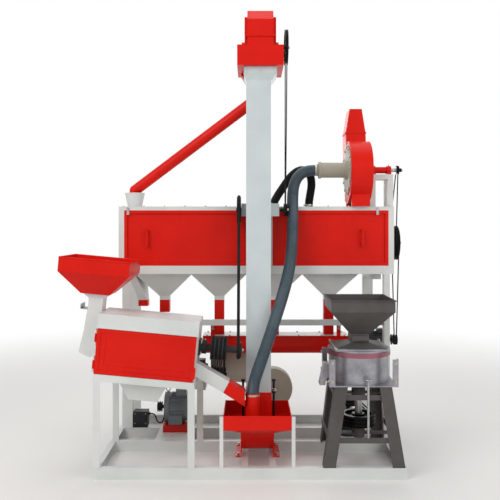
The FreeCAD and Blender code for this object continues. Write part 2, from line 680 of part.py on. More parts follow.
def husker_door():
    """Pressed door: a folded rim round a field that is sunk in two steps."""
    z1 = DOOR_TALL
    door = box(2, DOOR_LONG, 0, DOOR_THICK, 2, z1)
    door = door.cut(box(26, DOOR_LONG - 24, -1, 5, 26, z1 - 24))
    door = door.cut(box(60, DOOR_LONG - 58, 4, 8, 58, z1 - 56))
    door = door.cut(box(5, DOOR_LONG - 3, 12, DOOR_THICK + 1, 5, z1 - 3))
    knuckles = [rod(Vec(-HINGE_R, DOOR_THICK - 8, z), AZ, HINGE_R - GAP, 56) for z in (32, 204)]
    leaves = [box(-HINGE_R, 4, DOOR_THICK - 10, DOOR_THICK - 6, z, z + 56) for z in (32, 204)]
    return fuse([door] + knuckles + leaves)


def door_hinges():
    """Fixed hinge knuckles on the casing, above and below each door knuckle."""
    made = []
    for z in (32, 204):
        for low in (z - 18 - GAP, z + 56 + GAP):
            knuckle = rod(Vec(-HINGE_R, DOOR_THICK - 8, low), AZ, HINGE_R - GAP, 18)
            strap = box(-HINGE_R - 3, -GAP, DOOR_THICK - 8, DOOR_THICK + 30, low, low + 18)
            made.append(knuckle.fuse(strap).removeSplitter())
    return group(made)


def door_latch():
    """Latch plate on its pin at the free edge of the door."""
    z = 24.0
    tab = box(DOOR_LONG - 18, DOOR_LONG + 12, -8, -GAP, z, z + 72)
    pivot = rod(Vec(DOOR_LONG - 8, -14, z + 60), AY, 7, 14 - GAP)
    return fuse([tab, pivot])


def husker_stand():
    """White angle stand that carries the dehusker at its tilt."""
    ring = []
    w = HUSKER_POST
    deep, long = HUSKER_STAND_DEEP, HUSKER_LONG
    top = -GAP
    for y in (0, HUSKER_DEEP - w / 2, deep - RAIL_FLANGE):
        ring.append(box(0, long, y, y + RAIL_FLANGE, -w, top))
    for x in (0, long - RAIL_FLANGE):
        ring.append(box(x, x + RAIL_FLANGE, 0, deep, -w, top))
    shelf = MOTOR_Z - MOTOR_R - 14
    near, far = HUSKER_MOTOR_X - 77, HUSKER_MOTOR_X + 80
    ring.append(box(near, far, deep - 12, deep, shelf - 6, -w))
    ring.append(box(near, far, deep - 12, MOTOR_Y + 90, shelf - 12, shelf - 6))
    frame = [tilted(fuse(ring))]
    above = tilted(box(-300, 1200, -50, 700, -w / 2, 400))
    for x, z in ((HUSKER_ORIGIN.x - 3, 720), (HUSKER_RIGHT - w, 700)):
        for y, thick in ((FRONT, w), (RAIL_C_Y, RAIL_FLANGE)):
            nudge = 0 if y == FRONT else 18
            post = box(x + nudge, x + nudge + w, y, y + thick, RAIL_TALL, z)
            hollow = box(x + nudge + 4, x + nudge + w + 1, y + 4, y + thick + 1, RAIL_TALL, z)
            frame.append(post.cut(hollow).cut(above))
    return fuse(frame)


def emery_roller():
    """Abrasive roller on its shaft, with end discs."""
    x0 = (HUSKER_LONG - ROLLER_LONG) / 2
    drum = rod(Vec(x0, ROLLER_Y, ROLLER_Z), AX, ROLLER_R, ROLLER_LONG)
    for index in range(7):
        groove = pipe(Vec(x0 + 70 + index * 70, ROLLER_Y, ROLLER_Z), AX, ROLLER_R + 1, ROLLER_R - 4, 5)
        drum = drum.cut(groove)
    shaft = rod(Vec(4, ROLLER_Y, ROLLER_Z), AX, ROLLER_SHAFT_R, SMALL_PULLEY_X + 16)
    return fuse([drum, shaft])


def roller_screen():
    """Half-round perforated screen under the roller, hung from the casing walls."""
    r = ROLLER_R + 14
    x0, x1 = 6, HUSKER_LONG - 6
    ring = pipe(Vec(x0, ROLLER_Y, ROLLER_Z), AX, r + 2, r, x1 - x0)
    ring = ring.cut(box(x0 - 1, x1 + 1, -100, 400, ROLLER_Z, 500))
    for index in range(10):
        x = x0 + 34 + index * 60
        ring = ring.cut(box(x, x + 36, ROLLER_Y - 60, ROLLER_Y + 60, 0, ROLLER_Z - r * 0.8))
    lips = [box(x0, x1, ROLLER_Y - r - 2, ROLLER_Y - r, ROLLER_Z, ROLLER_Z + 20),
            box(x0, x1, ROLLER_Y + r, ROLLER_Y + r + 2, ROLLER_Z, ROLLER_Z + 20)]
    hangers = [box(x, x + 24, ROLLER_Y + r + 2, HUSKER_DEEP - 3 - GAP, ROLLER_Z + 8, ROLLER_Z + 16)
               for x in (x0 + 20, x1 - 44)]
    return fuse([ring] + lips + hangers)


def feed_hopper():
    """Red feed hopper with an upright skirt round its mouth."""
    x, y = NECK_X, NECK_Y
    z0 = NECK_TOP + GAP
    half, wide, deep = 92, HOPPER_RIM_LONG / 2, HOPPER_RIM_DEEP / 2
    low = (x - half, x + half, y - half, y + half, z0)
    high = (x - wide, x + wide, y - deep, y + deep, z0 + HOPPER_CONE)
    cone = chute(low, high, 3)
    skirt = box(high[0], high[1], high[2], high[3], high[4], high[4] + HOPPER_SKIRT)
    skirt = skirt.cut(box(high[0] + 3, high[1] - 3, high[2] + 3, high[3] - 3, high[4] - 1,
                          high[4] + HOPPER_SKIRT + 1))
    floor = box(low[0], low[1], low[2], low[3], z0, z0 + 3)
    floor = floor.cut(box(x - 42, x + 42, y - 52, y + 52, z0 - 1, z0 + 4))
    return fuse([cone, skirt, floor])


def hopper_neck():
    """White neck between the hopper and the casing, slotted for the feed gate."""
    x, y, z0, z1 = NECK_X, NECK_Y, NECK_FOOT, NECK_TOP
    body = box(x - 47, x + 47, y - 60, y + 60, z0, z1 - 30)
    flare = taper((x - 47, x + 47, y - 60, y + 60, z1 - 30), (x - 85, x + 85, y - 70, y + 70, z1))
    bore = box(x - 43, x + 43, y - 56, y + 56, z0 - 1, z1 + 1)
    slot = box(x - 48, x + 43, y - 55, y + 55, z0 + 3, z0 + 9)
    return fuse([body, flare]).cut(bore).cut(slot)


def feed_gate():
    """Flat slide with a turned-up pull that meters the grain."""
    x, y, z = NECK_X, NECK_Y, NECK_FOOT + 3.5
    plate = box(x - 98, x + 42, y - 54, y + 54, z, z + 5)
    return plate.fuse(box(x - 98, x - 94, y - 54, y + 54, z, z + 34)).removeSplitter()


def flat_duct(points, along_start, along_end, wall, ends):
    """Sheet duct drawn by its side view, with the listed edges left open."""
    side = polygon(points)
    outer = side.extrude(along_end - along_start)
    inner = side.makeOffset2D(-wall).extrude(along_end - along_start - AY * 2 * wall)
    outer.translate(along_start)
    inner.translate(along_start + AY * wall)
    duct = outer.cut(inner)
    for a, b in ends:
        edge = b - a
        edge.normalize()
        middle_a, middle_b = a + edge * wall, b - edge * wall
        normal = edge.cross(AY)
        mouth = prism([middle_a - normal * 4, middle_b - normal * 4,
                       middle_b + normal * 4, middle_a + normal * 4],
                      along_end - along_start - AY * 2 * wall)
        mouth.translate(along_start + AY * wall)
        duct = duct.cut(mouth)
    return duct


def end_spout():
    """White spout at the left end of the casing."""
    tall = HUSKER_TALL - 2
    points = [Vec(-GAP, 0, tall), Vec(-98, 0, tall), Vec(-108, 0, 260), Vec(-131, 0, 110),
              Vec(-52, 0, 80), Vec(-GAP, 0, 130)]
    return flat_duct(points, AY * 100, AY * 220, 2.5,
                     [(Vec(-95, 0, tall), Vec(-4, 0, tall)), (points[3], points[4])])


def husk_funnel():
    """Funnel under the screen that gathers the husk."""
    return chute((225, 415, 100, 220, -170), (130, 495, 45, 270, -2 * GAP), 2.5)


def dehusker_chute():
    """Chute that takes the split grain from the casing to the elevator's tray."""
    points = [Vec(HUSKER_RIGHT + 7 + GAP, 0, 725), Vec(HUSKER_RIGHT - 1 + GAP, 0, 635),
              Vec(-176, 0, 531), Vec(-136, 0, 603)]
    return flat_duct(points, AY * CHUTE_Y0, AY * CHUTE_Y1, 2.5,
                     [(points[1], points[0]), (points[2], points[3])])


def chute_extension():
    """Red lower length of the chute, set over the end of the white one."""
    points = [Vec(-135, 0, 602.5), Vec(-175, 0, 530.5), Vec(-34, 0, 440), Vec(-34, 0, 540)]
    return flat_duct(points, AY * (CHUTE_Y0 - 4), AY * (CHUTE_Y1 + 4), 2.5,
                     [(points[1], points[0]), (points[2], points[3])])


def roller_bearings():
    """Flange bearing at the driven end of the roller."""
    right = flange_bearing(Vec(HUSKER_LONG + GAP, ROLLER_Y, ROLLER_Z), AX, ROLLER_SHAFT_R, 100, 14, 50)
    return right


def left_roller_bearing():
    """Flange bearing at the far end of the roller."""
    return flange_bearing(Vec(3 + GAP, ROLLER_Y, ROLLER_Z), AX, ROLLER_SHAFT_R, 90, 10, 24)


def motor(centre, along, radius, long, foot_drop):
    """Totally enclosed motor: finned body, end bells, fan cowl, feet and terminal box."""
    up = AZ if abs(along.z) < 0.9 else AY
    across = along.cross(up)
    start = centre - along * (long / 2)
    body = rod(start, along, radius * 0.9, long)
    pieces = [body, rod(start, along, radius, long * 0.22),
              rod(start + along * long, along, radius * 0.55, 10)]
    count = 24
    for index in range(count):
        fin = box(0, long * 0.6, -2, 2, 0, radius)
        turn = FreeCAD.Rotation(AX, along)
        fin.rotate(Vec(0, 0, 0), AX, index * 360 / count + 7)
        fin.Placement = FreeCAD.Placement(start + along * (long * 0.28), turn).multiply(fin.Placement)
        pieces.append(fin)
    terminal = radius * 0.5
    pieces.append(prism([centre + across * a * terminal + up * radius * b for a, b in
                         ((-1, 0.8), (1, 0.8), (1, 1.28), (-1, 1.28))], along * terminal * 1.4))
    if foot_drop:
        for way in (-1, 1):
            low = centre + across * (way * radius * 0.72) - along * (long * 0.3)
            corners = [low - across * 18 - up * foot_drop, low + across * 18 - up * foot_drop,
                       low + across * 18 - up * radius * 0.3, low - across * 18 - up * radius * 0.3]
            pieces.append(prism(corners, along * long * 0.6))
    return fuse(pieces)


def husker_motor():
    """Drive motor of the dehusker on the shelf behind its stand."""
    return motor(Vec(HUSKER_MOTOR_X, MOTOR_Y, MOTOR_Z), AX, MOTOR_R, HUSKER_MOTOR_LONG, MOTOR_R + 20 - GAP)


def motor_rotor(centre, along, shaft_r, shaft_long, offset, radius, wide, grooves):
    """Motor shaft with its pulley: centre is where the shaft leaves the motor."""
    shaft = rod(centre, along, shaft_r, shaft_long)
    return group([shaft, pulley(centre + along * offset, along, radius, wide, grooves, shaft_r)])


def groove_depth(radius):
    """How deep a V groove is cut in a pulley of that radius."""
    return min(11.0, 0.22 * radius)


def v_belts(first, first_r, second, second_r, along, wide, grooves):
    """One belt in each groove between two pulleys of the same width."""
    pitch = wide / grooves
    made = []
    for index in range(grooves):
        shift = along * ((index + 0.5) * pitch - wide / 2)
        made.append(belt(first + shift, first_r - groove_depth(first_r) + GAP, second + shift,
                         second_r - groove_depth(second_r) + GAP, along,
                         min(0.72 * pitch, 15.0) / 2 - 2 * GAP, 9.0))
    return made


husker_pieces = (("dehusker_casing", group([husker_casing(), door_hinges()])),
                 ("dehusker_door", husker_door()), ("door_latch", door_latch()),
                 ("emery_roller", emery_roller()), ("roller_screen", roller_screen()),
                 ("feed_hopper", feed_hopper()), ("hopper_neck", group([hopper_neck(), end_spout()])),
                 ("feed_gate", feed_gate()))
for node, shape in husker_pieces:
    save(node, tilted(shape))
main = pulley(Vec(MAIN_PULLEY_X, ROLLER_Y, ROLLER_Z), AX, MAIN_PULLEY_R, MAIN_PULLEY_WIDE, 4,
              ROLLER_SHAFT_R)
small = pulley(Vec(SMALL_PULLEY_X, ROLLER_Y, ROLLER_Z), AX, SMALL_PULLEY_R, 30, 0, ROLLER_SHAFT_R)
save("dehusker_pulleys", tilted(group([main, small])))
save("dehusker_motor_pulley", tilted(motor_rotor(Vec(HUSKER_MOTOR_END, MOTOR_Y, MOTOR_Z), AX, 14, 136,
                                                 MAIN_PULLEY_X - HUSKER_MOTOR_END, HUSKER_MOTOR_PULLEY_R,
                                                 MAIN_PULLEY_WIDE, 4)))
husker_belts = [tilted(one) for one in v_belts(
    Vec(MAIN_PULLEY_X, ROLLER_Y, ROLLER_Z), MAIN_PULLEY_R, Vec(MAIN_PULLEY_X, MOTOR_Y, MOTOR_Z),
    HUSKER_MOTOR_PULLEY_R, AX, MAIN_PULLEY_WIDE, 4)]
save("dehusker_chutes", group([tilted(husk_funnel()), dehusker_chute()]))
save("dehusker_stand", husker_stand())
save("chute_extension", chute_extension())


def boot_envelope(grow):
    """Outer form of the elevator's boot, made larger all round by grow."""
    r = BOOT_R + grow
    x0, x1 = BOOT_X - BOOT_WIDE / 2 - grow, BOOT_X + BOOT_WIDE / 2 + grow
    bottom = rod(Vec(x0, LEG_Y, BOOT_SHAFT_Z), AX, r, x1 - x0)
    bottom = bottom.common(box(x0, x1, LEG_Y - r, LEG_Y + r, 0, BOOT_SHAFT_Z + 10))
    return fuse([bottom, box(x0, x1, LEG_Y - r, LEG_Y + r, BOOT_SHAFT_Z, BOOT_TOP + grow)])


def elevator_boot():
    """Boot with a round bottom, end plates on feet, and a collar that takes the leg."""
    x0, x1 = BOOT_X - BOOT_WIDE / 2, BOOT_X + BOOT_WIDE / 2
    body = boot_envelope(0).cut(boot_envelope(-4))
    for x, way in ((x0, -1), (x1, 1)):
        plate = box(min(x, x + way * 6), max(x, x + way * 6), LEG_Y - BOOT_R, LEG_Y + BOOT_R,
                    RAIL_TALL, BOOT_TOP)
        foot = box(min(x, x + way * 44), max(x, x + way * 44), LEG_Y - BOOT_R, LEG_Y + BOOT_R,
                   RAIL_TALL, RAIL_TALL + 6)
        body = body.fuse(plate).fuse(foot)
    w, d = LEG_WIDE / 2 + 4, LEG_DEEP / 2 + 4
    collar = box(LEG_X - w, LEG_X + w, LEG_Y - d, LEG_Y + d, BOOT_TOP - 4, LEG_Z0)
    hollow = box(LEG_X - w + 4, LEG_X + w - 4, LEG_Y - d + 4, LEG_Y + d - 4, BOOT_TOP - 5, LEG_Z0 + 1)
    body = fuse([body, collar]).cut(hollow)
    body = body.cut(box(LEG_X - 70, LEG_X + 70, LEG_Y - BOOT_R - 1, LEG_Y - BOOT_R + 5, 268, 308))
    hole = rod(Vec(x0 - 20, LEG_Y, BOOT_SHAFT_Z), AX, HEAD_SHAFT_R + RUN, x1 - x0 + 40)
    return body.cut(hole).removeSplitter()


def feed_tray():
    """Red feed tray on the boot, with its sloped floor."""
    x0, x1 = TRAY_X0, TRAY_X0 + TRAY_WIDE
    y0, y1 = FRONT, FRONT + TRAY_DEEP
    knee = TRAY_TOP - TRAY_SKIRT
    skirt = box(x0, x1, y0, y1, knee, TRAY_TOP)
    skirt = skirt.cut(box(x0 + 3, x1 - 3, y0 + 3, y1 - 3, knee - 1, TRAY_TOP + 1))
    low = (LEG_X - 75, LEG_X + 75, FRONT + 110, LEG_Y - BOOT_R - 4 * GAP, 262)
    slope = chute(low, (x0, x1, y0, y1, knee), 3)
    floor = box(low[0], low[1], low[2], low[3], 262, 265)
    ends = box(BOOT_X - BOOT_WIDE / 2 - 6 - GAP, BOOT_X + BOOT_WIDE / 2 + 6 + GAP,
               LEG_Y - BOOT_R - GAP, LEG_Y + BOOT_R, 0, BOOT_TOP + GAP)
    tray = fuse([skirt, slope, floor]).cut(ends)
    tray = tray.cut(box(LEG_X - 70, LEG_X + 70, LEG_Y - BOOT_R - 30, LEG_Y - BOOT_R + 10, 268, 308))
    collar = LEG_WIDE / 2 + 4 + GAP
    notch = box(LEG_X - collar, LEG_X + collar, LEG_Y - LEG_DEEP / 2 - 4 - GAP, y1 + 1, 250, LEG_Z0 + 9)
    tray = tray.cut(notch)
    return max(tray.Solids, key=lambda solid: solid.Volume)


def tray_stays():
    """Two flat stays that hold the tray's outer corners."""
    made = []
    for x in (TRAY_X0 - 24 - GAP, TRAY_X0 + TRAY_WIDE + GAP):
        stay = box(x, x + 24, FRONT + 2, FRONT + 32, RAIL_TALL, TRAY_TOP)
        made.append(stay.cut(box(x + 4, x + 25, FRONT + 6, FRONT + 33, RAIL_TALL - 1, TRAY_TOP + 1)))
    return group(made)


def hose_sleeve():
    """Collar in the tray that the hose drops into, strapped to the front of the leg."""
    end = Vec(HOSE_END.x, HOSE_END.y, 352)
    ring = pipe(end, AZ, HOSE_R + 5, HOSE_R + 2, HOSE_END.z - 352 + 20)
    back = LEG_Y - LEG_DEEP / 2 - 4 - GAP
    strap = box(end.x - 15, end.x + 15, end.y + HOSE_R + 3, back, 440, 470)
    return fuse([ring, strap])


def leg_shell():
    """Square sheet leg of the elevator, flanged at both ends."""
    w, d = LEG_WIDE / 2, LEG_DEEP / 2
    tube = box(LEG_X - w, LEG_X + w, LEG_Y - d, LEG_Y + d, BOOT_TOP + GAP, LEG_Z1 - 90)
    low = (LEG_X - w, LEG_X + w, LEG_Y - d, LEG_Y + d, LEG_Z1 - 90)
    mid = (HEAD_X - 112, HEAD_X + 112, LEG_Y - d - 26, LEG_Y + d + 26, LEG_Z1 - 45)
    flare = taper(low, mid)
    flange = box(mid[0], mid[1], mid[2], mid[3], LEG_Z1 - 45, LEG_Z1 - GAP)
    inner = box(LEG_X - w + 3, LEG_X + w - 3, LEG_Y - d + 3, LEG_Y + d - 3, BOOT_TOP - 5, LEG_Z1 + 1)
    seat = box(LEG_X - 118, LEG_X + 148, LEG_Y + d, LEG_Y + d + 8, JACK_Z - 45, JACK_Z + 45)
    leg = fuse([tube, flare, flange, seat]).cut(inner)
    for z in (LEG_Z1 - 16, LEG_Z1 - 34):
        for x in (mid[0] + 14, HEAD_X, mid[1] - 14):
            leg = leg.fuse(rod(Vec(x, mid[2], z), -AY, 7, 6))
    return leg.removeSplitter()


def head_box():
    """Head of the elevator, bored for its shaft, with the throat of the discharge pipe."""
    x0, x1 = HEAD_X - HEAD_WIDE / 2, HEAD_X + HEAD_WIDE / 2
    y0, y1 = LEG_Y - 150, LEG_Y - 150 + HEAD_DEEP
    shell = box(x0, x1, y0, y1, LEG_Z1, HEAD_TOP).cut(
        box(x0 + 3, x1 - 3, y0 + 3, y1 - 3, LEG_Z1 + 3, HEAD_TOP + 1))
    w, d = LEG_WIDE / 2 - 3, LEG_DEEP / 2 - 3
    shell = shell.cut(box(LEG_X - w, LEG_X + w, LEG_Y - d, LEG_Y + d, LEG_Z1 - 1, LEG_Z1 + 4))
    low = (PIPE_START.x - 42, PIPE_START.x + 42, PIPE_START.y - 42, PIPE_START.y + 42, PIPE_START.z + 30)
    high = (x0 + 20, x1 - 90, LEG_Y + LEG_DEEP / 2 + 30, y1, LEG_Z1 + GAP)
    neck = chute(low, high, 3)
    mouth = box(high[0] + 3, high[1] - 3, high[2] + 3, high[3] - 3, LEG_Z1 - 1, LEG_Z1 + 4)
    return fuse([shell, neck]).cut(mouth)


def elevator_hood():
    """Hood bolted over the head."""
    w = HOOD_WIDE / 2
    y, z0 = LEG_Y, HEAD_TOP + GAP

    def side(drop):
        return [Vec(0, y - 148 + drop, z0), Vec(0, y - 148 + drop, 3014 - drop * 0.4),
                Vec(0, y - 92, HOOD_TOP - drop), Vec(0, y + 92, HOOD_TOP - drop),
                Vec(0, y + 148 - drop, 3014 - drop * 0.4), Vec(0, y + 148 - drop, z0)]
    outer = prism(side(0), AX * 2 * w)
    outer.translate(AX * (HEAD_X - w))
    cheek = box(HEAD_X - w - 19, HEAD_X + w + 19, y - 100, y + 148, z0, 3040)
    seam = box(HEAD_X - w - 8, HEAD_X + w + 8, y - 156, y + 156, 2896, 2908)
    inner = prism(side(3), AX * 2 * (w - 3))
    inner.translate(AX * (HEAD_X - w + 3) - AZ * 2)
    hood = fuse([outer, cheek, seam]).cut(inner)
    hood = hood.cut(box(HEAD_X - w - 10, HEAD_X + w + 10, y - 97, y + 145, z0 - 1, 3030))
    hood = hood.fuse(rod(Vec(HEAD_X, y - 156, 2902), -AY, 8, 6))
    bore = rod(Vec(HEAD_X - 200, y, HEAD_SHAFT_Z), AX, HEAD_SHAFT_R + RUN, 400)
    boss = [rod(Vec(HEAD_X + s * (w + 19), y, HEAD_SHAFT_Z), AX * s, 34, 20) for s in (-1, 1)]
    return fuse([hood] + boss).cut(bore)


def lagged_drum(z, reach):
    """Belt drum on its shaft at height z, reaching that far to each side."""
    drum = rod(Vec(LEG_X - 60, LEG_Y, z), AX, HEAD_DRUM_R, 120)
    return drum.fuse(rod(Vec(LEG_X - 136, LEG_Y, z), AX, HEAD_SHAFT_R, reach)).removeSplitter()




def bucket_belt():
    """Endless belt with a bucket at every pitch, up one side and down the other."""
    top, low = Vec(LEG_X, LEG_Y, HEAD_SHAFT_Z), Vec(LEG_X, LEG_Y, BOOT_SHAFT_Z)
    pieces = [belt(top, HEAD_DRUM_R + GAP, low, HEAD_DRUM_R + GAP, AX, 110.0, 5.0)]
    reach = HEAD_DRUM_R + GAP + 5.0 + GAP
    count = int((HEAD_SHAFT_Z - BOOT_SHAFT_Z) / BUCKET_PITCH)
    for index in range(count):
        z = BOOT_SHAFT_Z + 40 + index * BUCKET_PITCH
        for way in (-1, 1):
            y = LEG_Y + way * reach
            mid = z + BUCKET_HIGH / 2
            side = [Vec(0, y, mid - way * BUCKET_HIGH / 2), Vec(0, y, mid + way * BUCKET_HIGH / 2),
                    Vec(0, y + way * 36, mid + way * 8), Vec(0, y + way * 30, mid - way * 30)]
            bucket = prism(side, AX * 100)
            bucket.translate(AX * (LEG_X - 50))
            pieces.append(bucket)
    return group(pieces)


def take_up_screws():
    """Screws at both sides of the leg that tighten the belt."""
    made = []
    for x in (LEG_X - LEG_WIDE / 2 - 22, LEG_X + LEG_WIDE / 2 + 22):
        made.append(fuse([rod(Vec(x, LEG_Y, BOOT_TOP + GAP), AZ, 8, 250),
                          Part.makeCylinder(16, 14, Vec(x, LEG_Y, BOOT_TOP + 160), AZ),
                          Part.makeCylinder(14, 12, Vec(x, LEG_Y, BOOT_TOP + 240), AZ)]))
    return group(made)


def discharge_pipe():
    """Rolled pipe down the slope, mitred into a short drop, with a cut and dressed top end."""
    slope = PIPE_ELBOW - PIPE_START
    long = slope.Length
    slope.normalize()
    drop = 80.0

    def bent(radius):
        run = rod(PIPE_START, slope, radius, long)
        fall = rod(PIPE_ELBOW, -AZ, radius, drop)
        return fuse([run, Part.makeSphere(radius, PIPE_ELBOW), fall])
    walls = bent(PIPE_R).cut(bent(PIPE_R - 2.5))
    walls = walls.cut(rod(PIPE_ELBOW - AZ * (drop - 5), -AZ, PIPE_R - 2.5, 9))
    walls = walls.cut(rod(PIPE_START - slope * 5, slope, PIPE_R - 2.5, 60))
    return walls.cut(box(-40, 160, -300, 0, PIPE_START.z + 20, 2700))


def jackshaft_bearings():
    """Two bearings on brackets that carry the jackshaft behind the leg."""
    made = []
    for x in (LEG_X - 112, LEG_X + 92):
        back = LEG_Y + LEG_DEEP / 2 + 8 + GAP
        body = fuse([rod(Vec(x, JACK_Y, JACK_Z), AX, 13, 40).fuse(rod(Vec(x, JACK_Y, JACK_Z), AX, 26, 40)),
                     box(x, x + 40, back, back + 6, JACK_Z - 42, JACK_Z + 42)])
        body = body.common(box(x - 1, x + 41, back, JACK_Y + 40, JACK_Z - 60, JACK_Z + 60))
        made.append(body.cut(rod(Vec(x - 1, JACK_Y, JACK_Z), AX, JACK_SHAFT_R + RUN, 42)))
    return group(made)


def fan_casing():
    """Scroll of growing radius round the shaft, with a tapered outlet at the top."""
    x0, x1 = FAN_X0, FAN_X0 + FAN_WIDE
    outlet_z = FAN_Z + 290

    def scroll(wall):
        points = []
        for index in range(15):
            turn = math.radians(-20 + index * 23)
            reach = 188 + 66 * index / 14 - wall
            points.append(Vec(0, FAN_Y + reach * math.cos(turn), FAN_Z + reach * math.sin(turn)))
        curve = Part.BSplineCurve()
        curve.interpolate(points)
        back = Vec(0, FAN_Y + 254 - wall, outlet_z + 1)
        front = Vec(0, FAN_Y + 90 + wall, outlet_z + 1)
        first, last = points[0], points[-1]
        edges = [curve.toShape(), Part.makeLine(last, first)]
        eye = Part.Face(Part.Wire(edges))
        return eye, polygon([Vec(0, FAN_Y + 60 + wall, FAN_Z + 120), Vec(0, first.y + 66, FAN_Z),
                             back, front])

    def solid(wall):
        eye, neck = scroll(wall)
        a = eye.extrude(AX * (x1 - x0 - 2 * wall))
        b = neck.extrude(AX * (x1 - x0 - 2 * wall))
        both = fuse([a, b])
        both.translate(AX * (x0 + wall))
        return both
    mid = (x0 + x1) / 2
    outer, inner = solid(0), solid(3)
    low = (x0, x1, FAN_Y + 90, FAN_Y + 254, outlet_z)
    high = (mid - 46, mid + 46, FAN_Y + 90, FAN_Y + 254, outlet_z + 180)
    neck = chute(low, high, 3)
    collar = box(x0 - 4, x1 + 4, FAN_Y + 86, FAN_Y + 258, outlet_z - 6, outlet_z + 6)
    collar = collar.cut(box(x0 + 3, x1 - 3, FAN_Y + 93, FAN_Y + 251, outlet_z - 8, outlet_z + 8))
    body = fuse([outer, collar, neck]).cut(inner).cut(
        box(x0 + 3, x1 - 3, FAN_Y + 93, FAN_Y + 251, outlet_z - 20, outlet_z + 2))
    body = body.cut(rod(Vec(x0 - 1, FAN_Y, FAN_Z), AX, FAN_EYE_R, 6))
    body = body.cut(rod(Vec(x1 - 4, FAN_Y, FAN_Z), AX, FAN_SHAFT_R + 4, 6))
    feet = []
    for way in (-1, 1):
        y = FAN_Y + way * 130
        feet.append(box(x0 + 10, x1 - 10, y - 20, y + 20, GRADER_Z1 + 4 + GAP, FAN_Z - 160).cut(outer))
    return fuse([body] + feet)


def fan_inlet_plate():
    """Round inlet plate of the fan, with its bolt holes."""
    x = FAN_X0 - GAP
    plate = rod(Vec(x, FAN_Y, FAN_Z), -AX, 182, 5)
    eye = [rod(Vec(x, FAN_Y, FAN_Z), -AX, FAN_EYE_R + 14, 24)]
    for index in range(12):
        turn = math.radians(index * 30)
        spot = Vec(x - 5, FAN_Y + 168 * math.cos(turn), FAN_Z + 168 * math.sin(turn))
        eye.append(rod(spot, -AX, 7, 6))
    return fuse([plate] + eye).cut(rod(Vec(x + 1, FAN_Y, FAN_Z), -AX, FAN_EYE_R + 1, 40))


def inlet_pipe():
    """Suction pipe with a beaded end ring and the spigot that the hose is pushed on."""
    y, z = FAN_Y, FAN_Z
    x0, x1 = FAN_X0 - 215, FAN_X0 - GAP
    pieces = [rod(Vec(x0, y, z), AX, FAN_EYE_R, x1 - x0), rod(Vec(x0, y, z), AX, FAN_EYE_R + 6, 18)]
    collar = rod(Vec(x0 - 12, y, z), AX, HOSE_R + 3, 14)
    body = fuse(pieces + [collar])
    bore = fuse([rod(Vec(x0 + 4, y, z), AX, FAN_EYE_R - 3, x1 - x0),
                 rod(Vec(x0 - 20, y, z), AX, HOSE_R - 5, 30)])
    return body.cut(bore)


def fan_rotor():
    """Fan impeller with its back plate, blades, shaft and pulley."""
    x0 = FAN_X0
    eye = Vec(x0 + 20, FAN_Y, FAN_Z)
    parts = [rod(Vec(x0 + 10, FAN_Y, FAN_Z), AX, FAN_SHAFT_R, BELT_PLANE_X + 20 - x0 - 10),
             rod(eye + AX * 96, AX, IMPELLER_R, 4), rod(eye + AX * 60, AX, 34, 40)]
    for index in range(8):
        blade = Part.makeBox(92, 4, IMPELLER_R - 50, eye + Vec(6, -2, 40))
        blade.rotate(eye + AZ * 40, AX, -24)
        blade.rotate(eye, AX, index * 45)
        parts.append(blade)
    drive = pulley(Vec(BELT_PLANE_X - 11, FAN_Y, FAN_Z), AX, FAN_PULLEY_R, 22, 1, FAN_SHAFT_R)
    return group([fuse(parts), drive])


def fan_stand():
    """White stand of the fan's bearing housing."""
    x0, x1 = 876.0, GRADER_X1
    foot = GRADER_Z1 + 4 + GAP
    top = FAN_Z - 36
    parts = []
    for x in (x0, x1 - 40):
        for y in (FAN_Y - 75, FAN_Y + 35):
            parts.append(box(x, x + 40, y, y + 40, foot, top))
        parts.append(box(x, x + 40, FAN_Y - 75, FAN_Y + 75, foot, foot + 6))
    parts.append(box(x0, x1, FAN_Y - 75, FAN_Y + 75, top - 36, top))
    return fuse(parts)


def fan_bearing():
    """Long bearing housing of the fan's shaft."""
    y, z = FAN_Y, FAN_Z
    x0, x1 = 896.0, 1040.0
    body = [rod(Vec(x0, y, z), AX, 24, x1 - x0)]
    for x in (x0, x1 - 30):
        body.append(rod(Vec(x, y, z), AX, 31, 30))
        body.append(box(x, x + 30, y - 34, y + 34, z - 36 + GAP, z - 12))
    return fuse(body).cut(rod(Vec(x0 - 1, y, z), AX, FAN_SHAFT_R + RUN, 200))


for node, maker in (("elevator_boot", elevator_boot),
                    ("feed_tray", lambda: group([feed_tray(), hose_sleeve()])),
                    ("tray_stays", tray_stays),
                    ("elevator_leg", leg_shell), ("elevator_head", head_box),
                    ("elevator_hood", elevator_hood), ("bucket_belt", bucket_belt),
                    ("take_up_screws", take_up_screws), ("discharge_pipe", discharge_pipe),
                    ("fan_casing", fan_casing),
                    ("fan_inlet_plate", lambda: group([fan_inlet_plate(), inlet_pipe()])),
                    ("fan_rotor", fan_rotor), ("fan_stand", fan_stand),
                    ("fan_bearing", fan_bearing)):
    save(node, maker())
save("head_shaft", group([lagged_drum(HEAD_SHAFT_Z, SHEAVE_X + 14 - LEG_X + 136),
                          pulley(Vec(SHEAVE_X, LEG_Y, HEAD_SHAFT_Z), AX, SHEAVE_R, 22, 1, HEAD_SHAFT_R)]))
save("boot_shaft", lagged_drum(BOOT_SHAFT_Z, 262))
save("grain_hose", hose(HOSE_POINTS + [HOSE_END], HOSE_R, "grain hose"))


def jackshaft():
    """Jackshaft with its large left pulley and small right one."""
    x0 = JACK_BELT_X - 20
    shaft = rod(Vec(x0, JACK_Y, JACK_Z), AX, JACK_SHAFT_R, SHEAVE_X + 14 - x0)
    left = pulley(Vec(JACK_BELT_X, JACK_Y, JACK_Z), AX, JACK_LEFT_R, 28, 0, JACK_SHAFT_R)
    right = pulley(Vec(SHEAVE_X, JACK_Y, JACK_Z), AX, JACK_RIGHT_R, 22, 1, JACK_SHAFT_R)
    return group([shaft, left, right])


